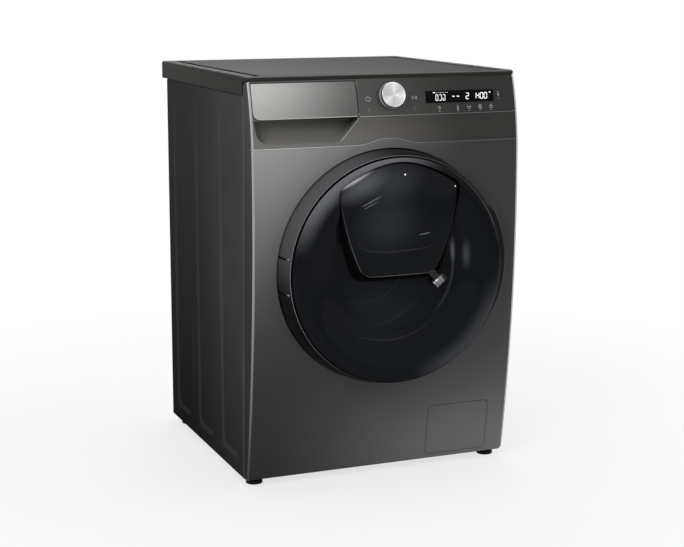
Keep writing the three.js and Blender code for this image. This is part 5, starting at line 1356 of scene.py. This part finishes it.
def makePocket():
    # the hollow that the small door closes, open to the drum through the throat
    gap, wall, edge = cover["gap"], cover["pocketWall"], 230
    floorY = cover["pocketY"] + wall
    front = [(0.02, coverY(0) + 0.6)] + [(r, coverY(r) + 0.6) for r in (60, 110, *range(120, edge + 1, 10))]
    tray = tool(*turned(front + [(edge, floorY), (0.02, floorY)], doorCentre, cover["steps"], closed=False))
    carve(tray, tool(*prism(pocketOutline(gap + wall), *pierce)), "INTERSECT")
    carve(tray, tool(*prism(pocketOutline(gap - 0.02), pierce[0], cover["pocketY"])))
    carve(tray, tool(*prism(throatOutline(), *pierce)))
    adopt(tray, "coverPocket", "shadowGap", "door")


makeCover()
makePocket()
print("door ready")


# small door
def smallDomeY(x, z):
    middle = (smallLow.z + smallHigh.z) / 2
    return smallLow.y + (x * x + (z - middle) ** 2) / (2 * small["domeRadius"])


def makeSmallDoor():
    middle = (smallLow.z + smallHigh.z) / 2
    back, edge, wall = smallHigh.y, small["edge"], small["wall"]

    def shrunk(outline, share):
        return [(x * share, middle + (z - middle) * share) for x, z in outline]

    def domed(outline, drop=0):
        return [(x, smallDomeY(x, z) + drop, z) for x, z in outline]

    rings = [[(x, back, z) for x, z in smallOutline(0)]]
    for i in range(7):
        angle = math.radians(15 * i)
        outline = smallOutline(-edge * (1 - math.cos(angle)))
        rings.append(domed(outline, edge * (1 - math.sin(angle))))
    rings += [domed(shrunk(smallOutline(-edge), 1 - i / 14)) for i in range(1, 14)]
    hollow = smallOutline(-wall)
    under = [[(x, back, z) for x, z in hollow], domed(hollow, wall + edge * 0.4)]
    under += [domed(shrunk(hollow, share), wall) for share in (0.7, 0.35, 0.01)]
    addPiece("smallDoorPanel", *loft(under[::-1] + rings), "smallGlass", "small_door", "tinted_glass",
             ["small_door_panel"], 40)


def fineLine(line, width, lift, depthAt):
    # a thin tapered strip on a curved face, whose depth at x, z is depthAt(x, z)
    rings = []
    for i, (x, z) in enumerate(line):
        a, b = line[max(0, i - 1)], line[min(len(line) - 1, i + 1)]
        run = Vector((b[0] - a[0], b[1] - a[1])).normalized()
        across = Vector((-run.y, run.x)) * width / 2
        u, v = across * (0.25 + 0.75 * math.sin(math.pi * (i + 0.5) / len(line)))
        rings.append([(x + u * k, depthAt(x + u * k, z + v * k) + rise, z + v * k)
                      for k, rise in ((1, 0.1), (0.6, -lift), (-0.6, -lift), (-1, 0.1))])
    return loft(rings)


def onSmallDoor(line, width, lift=0.1):
    return fineLine(line, width, lift, smallDomeY)


def onCover(line, width, lift=0.08):
    return fineLine(line, width, lift, lambda x, z: coverY(math.hypot(x, z - doorZ)))


def makeBowlReflections():
    # painted reflections: faint pale lines of the glass bowl that show through the tinted cover
    lines = [onCover(quadratic(*bends, steps), width) for *bends, steps, width in (
        ((-120, 398), (-20, 372), (16, 452), 20, 1.6), ((-75, 338), (8, 340), (53, 397), 20, 1.8),
        ((-96, 327), (10, 285), (82, 344), 24, 2.6))]
    addPiece("bowlReflections", *bunch(lines), "plugGlass", "door", "tinted_glass")


def makeSmallDoorMarks():
    def glassLines(name, look, lines):
        addPiece(name, *bunch(lines), look, "small_door", "tinted_glass")

    # painted highlights of the plug inside: two short strokes at its upper left and a short dash at its lower
    # right
    glassLines("plugHighlights", "traceGlass", [
        onSmallDoor(densify([(-84, 592), (-44, 611)], 5), 2.8),
        onSmallDoor(densify([(-80, 587), (-52, 600)], 5), 1.8),
        onSmallDoor(densify([(40, 528), (64, 531)], 4), 3.0)])
    foot = [(-95, 522), (-86, 508), (-66, 500), (-24, 496), (40, 499), (72, 503)]
    glassLines("plugOutline", "plugGlass", [onSmallDoor(densify(foot, 6), 3.4, 0.08)])
    # painted highlights along the small door's left and lower edges
    edge = smallOutline(-1.6)
    flank = sorted((p for p in edge if p[0] < -20 and smallLow.z + 8 < p[1] < 590), key=lambda p: p[1])
    under = sorted(p for p in edge if p[1] < smallLow.z + 6)
    glassLines("smallDoorEdgeHighlights", "edgeGlass",
               [onSmallDoor(densify(flank, 8), 1.5), onSmallDoor(densify(under, 8), 1.7)])
    shapes = []
    for x, z, r in ((9, 652, 1.9), (124, 622, 1.5)):
        y = smallDomeY(x, z)
        dome = [(r, y + 0.4), (r, y - 0.25), (r * 0.6, y - 0.5), (0.02, y - 0.55)]
        shapes.append(turned(dome, (x, z), 16, closed=False))
    piece = addPiece("indicatorDots", *bunch(shapes), "iconPrint", "small_door", "white_plastic")
    piece.data.materials[0] = glowing("dotGlow", (0.80, 0.81, 0.82), 0.5)


# painted highlight lines of the small door's edges
finishes["edgeGlass"] = plain((0.085, 0.087, 0.092), 0.0, 0.3, 0.2, (0.2, 30), (0.02, 500))
# painted highlight strokes of the plug inside
finishes["traceGlass"] = plain((0.17, 0.175, 0.18), 0.0, 0.3, 0.2, (0.3, 40), (0.02, 500))
# faint pale lines: painted reflections of the bowl, and the plug inside seen through the small door
finishes["plugGlass"] = plain((0.028, 0.029, 0.032), 0.0, 0.3, 0.1, (0.2, 40), (0.02, 500))
makeBowlReflections()
makeSmallDoor()
makeSmallDoorMarks()


# small door's hinge
smallHinge = {"tilt": 41, "radius": 10.2, "length": 17, "ear": 5, "pin": 3.0, "gap": 0.3, "arm": 44}


def makeSmallHinge():
    joint = next(j for j in frame["joints"] if j["name"] == "small_door_swing")
    place = Vector(joint["pos_m"]) / mm
    tilt = math.radians(smallHinge["tilt"])
    along = Vector((math.cos(tilt), 0, math.sin(tilt)))
    up = Vector((-math.sin(tilt), 0, math.cos(tilt)))
    back = Vector((0, 1, 0))
    half, r, pin, gap = (smallHinge[key] for key in ("length", "radius", "pin", "gap"))
    half /= 2

    def barrel(x0, x1, radius, hole):
        turns = [2 * math.pi * i / 40 for i in range(40)]
        profile = [(x0, hole), (x0, radius - 0.8), (x0 + 0.3, radius - 0.25), (x0 + 0.9, radius),
                   (x1 - 0.9, radius), (x1 - 0.3, radius - 0.25), (x1, radius - 0.8), (x1, hole)]
        rings = [[tuple(place + along * x + up * own * math.cos(turn) + back * own * math.sin(turn))
                  for turn in turns]
                 for x, own in profile]
        return loft(rings + rings[:1], capped=False) if hole > 0.5 else loft(rings)

    def bar(x0, x1, y0, y1, u0, u1):
        return loft([[tuple(place + along * x + back * y + up * u)
                      for x, y in ((x0, y0), (x1, y0), (x1, y1), (x0, y1))] for u in (u0, u1)])

    knuckle = tool(*barrel(-half, half, r, pin + gap))
    arm = tool(*bar(-half + 1, half - 1, -3, 3, r - 1.5, smallHinge["arm"]))
    carve(arm, tool(*prism(smallOutline(gap), -far, smallHigh.y + 5)))
    carve(knuckle, arm, "UNION")
    adopt(knuckle, "hingeKnuckle", "hingeSatin", "small_door", ["small_door_hinge"])
    soften(knuckle, 0.4, 2, 50)

    def reach(face, way):
        return (face.center / mm - place).dot(way)

    # the arm is dark, and the barrel's right half gets the same dark finish as painted shade
    paint(knuckle, "hingeDarkAndShade", lambda face: reach(face, up) > r + 0.5 or reach(face, along) > 1)
    base = coverLow.y + cover["dish"] - place.y - gap
    end = half + gap + smallHinge["ear"]
    bracket = tool(*barrel(-end, -half - gap, r, 0.02))
    for shape in (barrel(half + gap, end, r, 0.02), barrel(-end + 1, end - 1, pin, 0.02),
                  bar(-end, -half - gap, 0, base, -r, r), bar(half + gap, end, 0, base, -r, r),
                  bar(-end, end, base - 2, base, -r, r)):
        carve(bracket, tool(*shape), "UNION")
    # the ears take the dark finish, as painted shade on their right half, and their left half the satin metal
    adopt(bracket, "hingeEars", "hingeDarkAndShade", "door", ["small_hinge_bracket"])
    paint(bracket, "hingeSatin", lambda face: reach(face, along) < 0)


finishes["hingeSatin"] = plain((0.2, 0.205, 0.21), 0.9, 0.26, 0.5, (0.08, 60), (0.05, 700))
# dark finish: the hinge arm's own colour, and painted shade on the right half of barrel and ears
finishes["hingeDarkAndShade"] = plain((0.01, 0.011, 0.012), 0.0, 0.3, 0.3, (0.1, 50), (0.05, 700))
makeSmallHinge()
print("small door ready")


# filter hatch
def makeHatch():
    cap = skinShell(hatch["wall"])
    carve(cap, tool(*prism(hatchOutline(0), ahead, -213)), "INTERSECT")
    adopt(cap, "filterHatch", "graphitePaint", "hatch", ["filter_hatch"])
    soften(cap, hatch["edge"])
    polish(cap, skinNormal)
    line = hatchOutline(hatch["gap"] / 2, 6)
    addPiece("hatchGap", *ribbon(densify(line + line[:1], 8)[:-1], hatch["line"], -0.3, 1.2, closed=True),
             "shadowGap", "cabinet", "black_rubber")


makeHatch()


# feet
foot = {"radius": 17.5, "height": 8.5, "stem": 5, "stemLength": 38, "nut": 9.5, "nutHeight": 5, "grooves": 3}


def makeFoot(node, name, body):
    low, high = boxOf(node)
    centre = ((low.x + high.x) / 2, (low.y + high.y) / 2)
    r, h, stem = foot["radius"], foot["height"], foot["stem"]
    profile = [(0.02, 0), (r - 3.0, 0), (r - 2.4, 0.6), (r - 0.5, 0.6), (r, 1.2)]
    for i in range(foot["grooves"]):
        z = 1.8 + i * 1.5
        profile += [(r, z), (r - 0.5, z + 0.3), (r - 0.5, z + 0.7), (r, z + 1.0)]
    profile += [(r - 0.4, h - 2), (r - 4, h), (stem + 0.01, h)]
    # the thread starts above the nut
    z, end = h + foot["nutHeight"] + 1, h + foot["stemLength"]
    profile += [(stem, h), (stem, z)]
    while z < end - 2:
        profile += [(stem, z), (stem - 0.5, z + 0.8), (stem, z + 1.6)]
        z += 1.9
    profile += [(stem - 0.8, end), (0.02, end)]
    nut, nutLow, nutHigh = foot["nut"], h + 0.3, h + foot["nutHeight"]
    sides = [(nut - 0.8, nutLow), (nut, nutLow + 0.6), (nut, nutHigh - 0.6), (nut - 0.8, nutHigh)]
    shapes = bunch([loft(spun(profile, centre, 48)), loft(spun(sides, centre, 6))])
    piece = addPiece(name, *shapes, "blackRubber", body, "black_rubber", [node], 35)
    paint(piece, "zincSteel", lambda face: face.center.z > (h + 0.05) * mm)


for corner in ("front_left", "front_right", "rear_left", "rear_right"):
    makeFoot("foot_" + corner, "foot" + corner.title().replace("_", ""), corner + "_foot")
print("hatch and feet ready")


# finishes of the pieces that keep their CAD shape
slotFinish = {"side_paint": "sidePaint", "graphite_paint": "graphitePaint", "top_laminate": "topLaminate",
              "brushed_front": "drawerMetal", "dark_plastic": "darkPlastic", "tinted_glass": "displayGlass",
              "clear_glass": "clearBowl", "spun_metal": "stainless", "hinge_metal": "hingeChrome",
              "zinc_steel": "zincSteel", "alloy": "castAlloy", "white_plastic": "whitePlastic",
              "grey_rubber": "greyRubber", "black_rubber": "blackRubber", "weight_iron": "weightIron",
              "stainless": "stainless", "circuit_board": "circuitGreen"}
finishes["clearBowl"] = plain((0.5, 0.53, 0.55), 0, 0.06, 0.5, (0.03, 8), (0.01, 300))
clearBowl = {"transmission": 0.75, "ior": 1.47}
drumSteel = {"pitch": 16, "hole": 0.144, "radius": 245, "wallFrom": 0.236, "dark": (0.01, 0.01, 0.01)}


def makeDrumSteel():
    # rows of small holes round the drum wall
    material = finish("stainless").copy()
    material.name = "drumSteel"
    tree = material.node_tree
    shader = tree.nodes["Principled BSDF"]
    base = shader.inputs["Base Color"].links[0].from_socket
    place = tree.nodes["Texture Coordinate"].outputs["Object"]
    split = addNode(tree, "SeparateXYZ", None, None, {0: place}).outputs
    high = mathOf(tree, "SUBTRACT", split["Z"], doorZ * mm)
    around = mathOf(tree, "MULTIPLY", mathOf(tree, "ARCTAN2", high, split["X"]),
                    drumSteel["radius"] / drumSteel["pitch"])
    deep = mathOf(tree, "MULTIPLY", split["Y"], 1 / (drumSteel["pitch"] * mm))
    # every other row is half a pitch further round
    shifted = mathOf(tree, "ADD", around, mathOf(tree, "MULTIPLY", mathOf(tree, "FLOOR", deep), 0.5))
    u, v = (mathOf(tree, "SUBTRACT", mathOf(tree, "FRACT", way), 0.5) for way in (shifted, deep))
    hole = mathOf(tree, "LESS_THAN", lengthOf(tree, u, v), drumSteel["hole"])
    wall = mathOf(tree, "GREATER_THAN", lengthOf(tree, high, split["X"]), drumSteel["wallFrom"])
    colour = mixOf(tree, mathOf(tree, "MULTIPLY", hole, wall), base, drumSteel["dark"])
    tree.links.new(colour, shader.inputs["Base Color"])
    return material


for part in frame["record"]["subparts"]:
    node = frame["nodes"][part["node"]]
    if node.hide_render:
        continue
    look = finish(slotFinish[part["material_slot"]])
    node.data.materials.clear()
    node.data.materials.append(look)
bowl = finish("clearBowl").node_tree.nodes["Principled BSDF"]
bowl.inputs["Transmission Weight"].default_value = clearBowl["transmission"]
bowl.inputs["IOR"].default_value = clearBowl["ior"]
frame["nodes"]["drum_shell"].data.materials[0] = makeDrumSteel()
print("finishes ready")
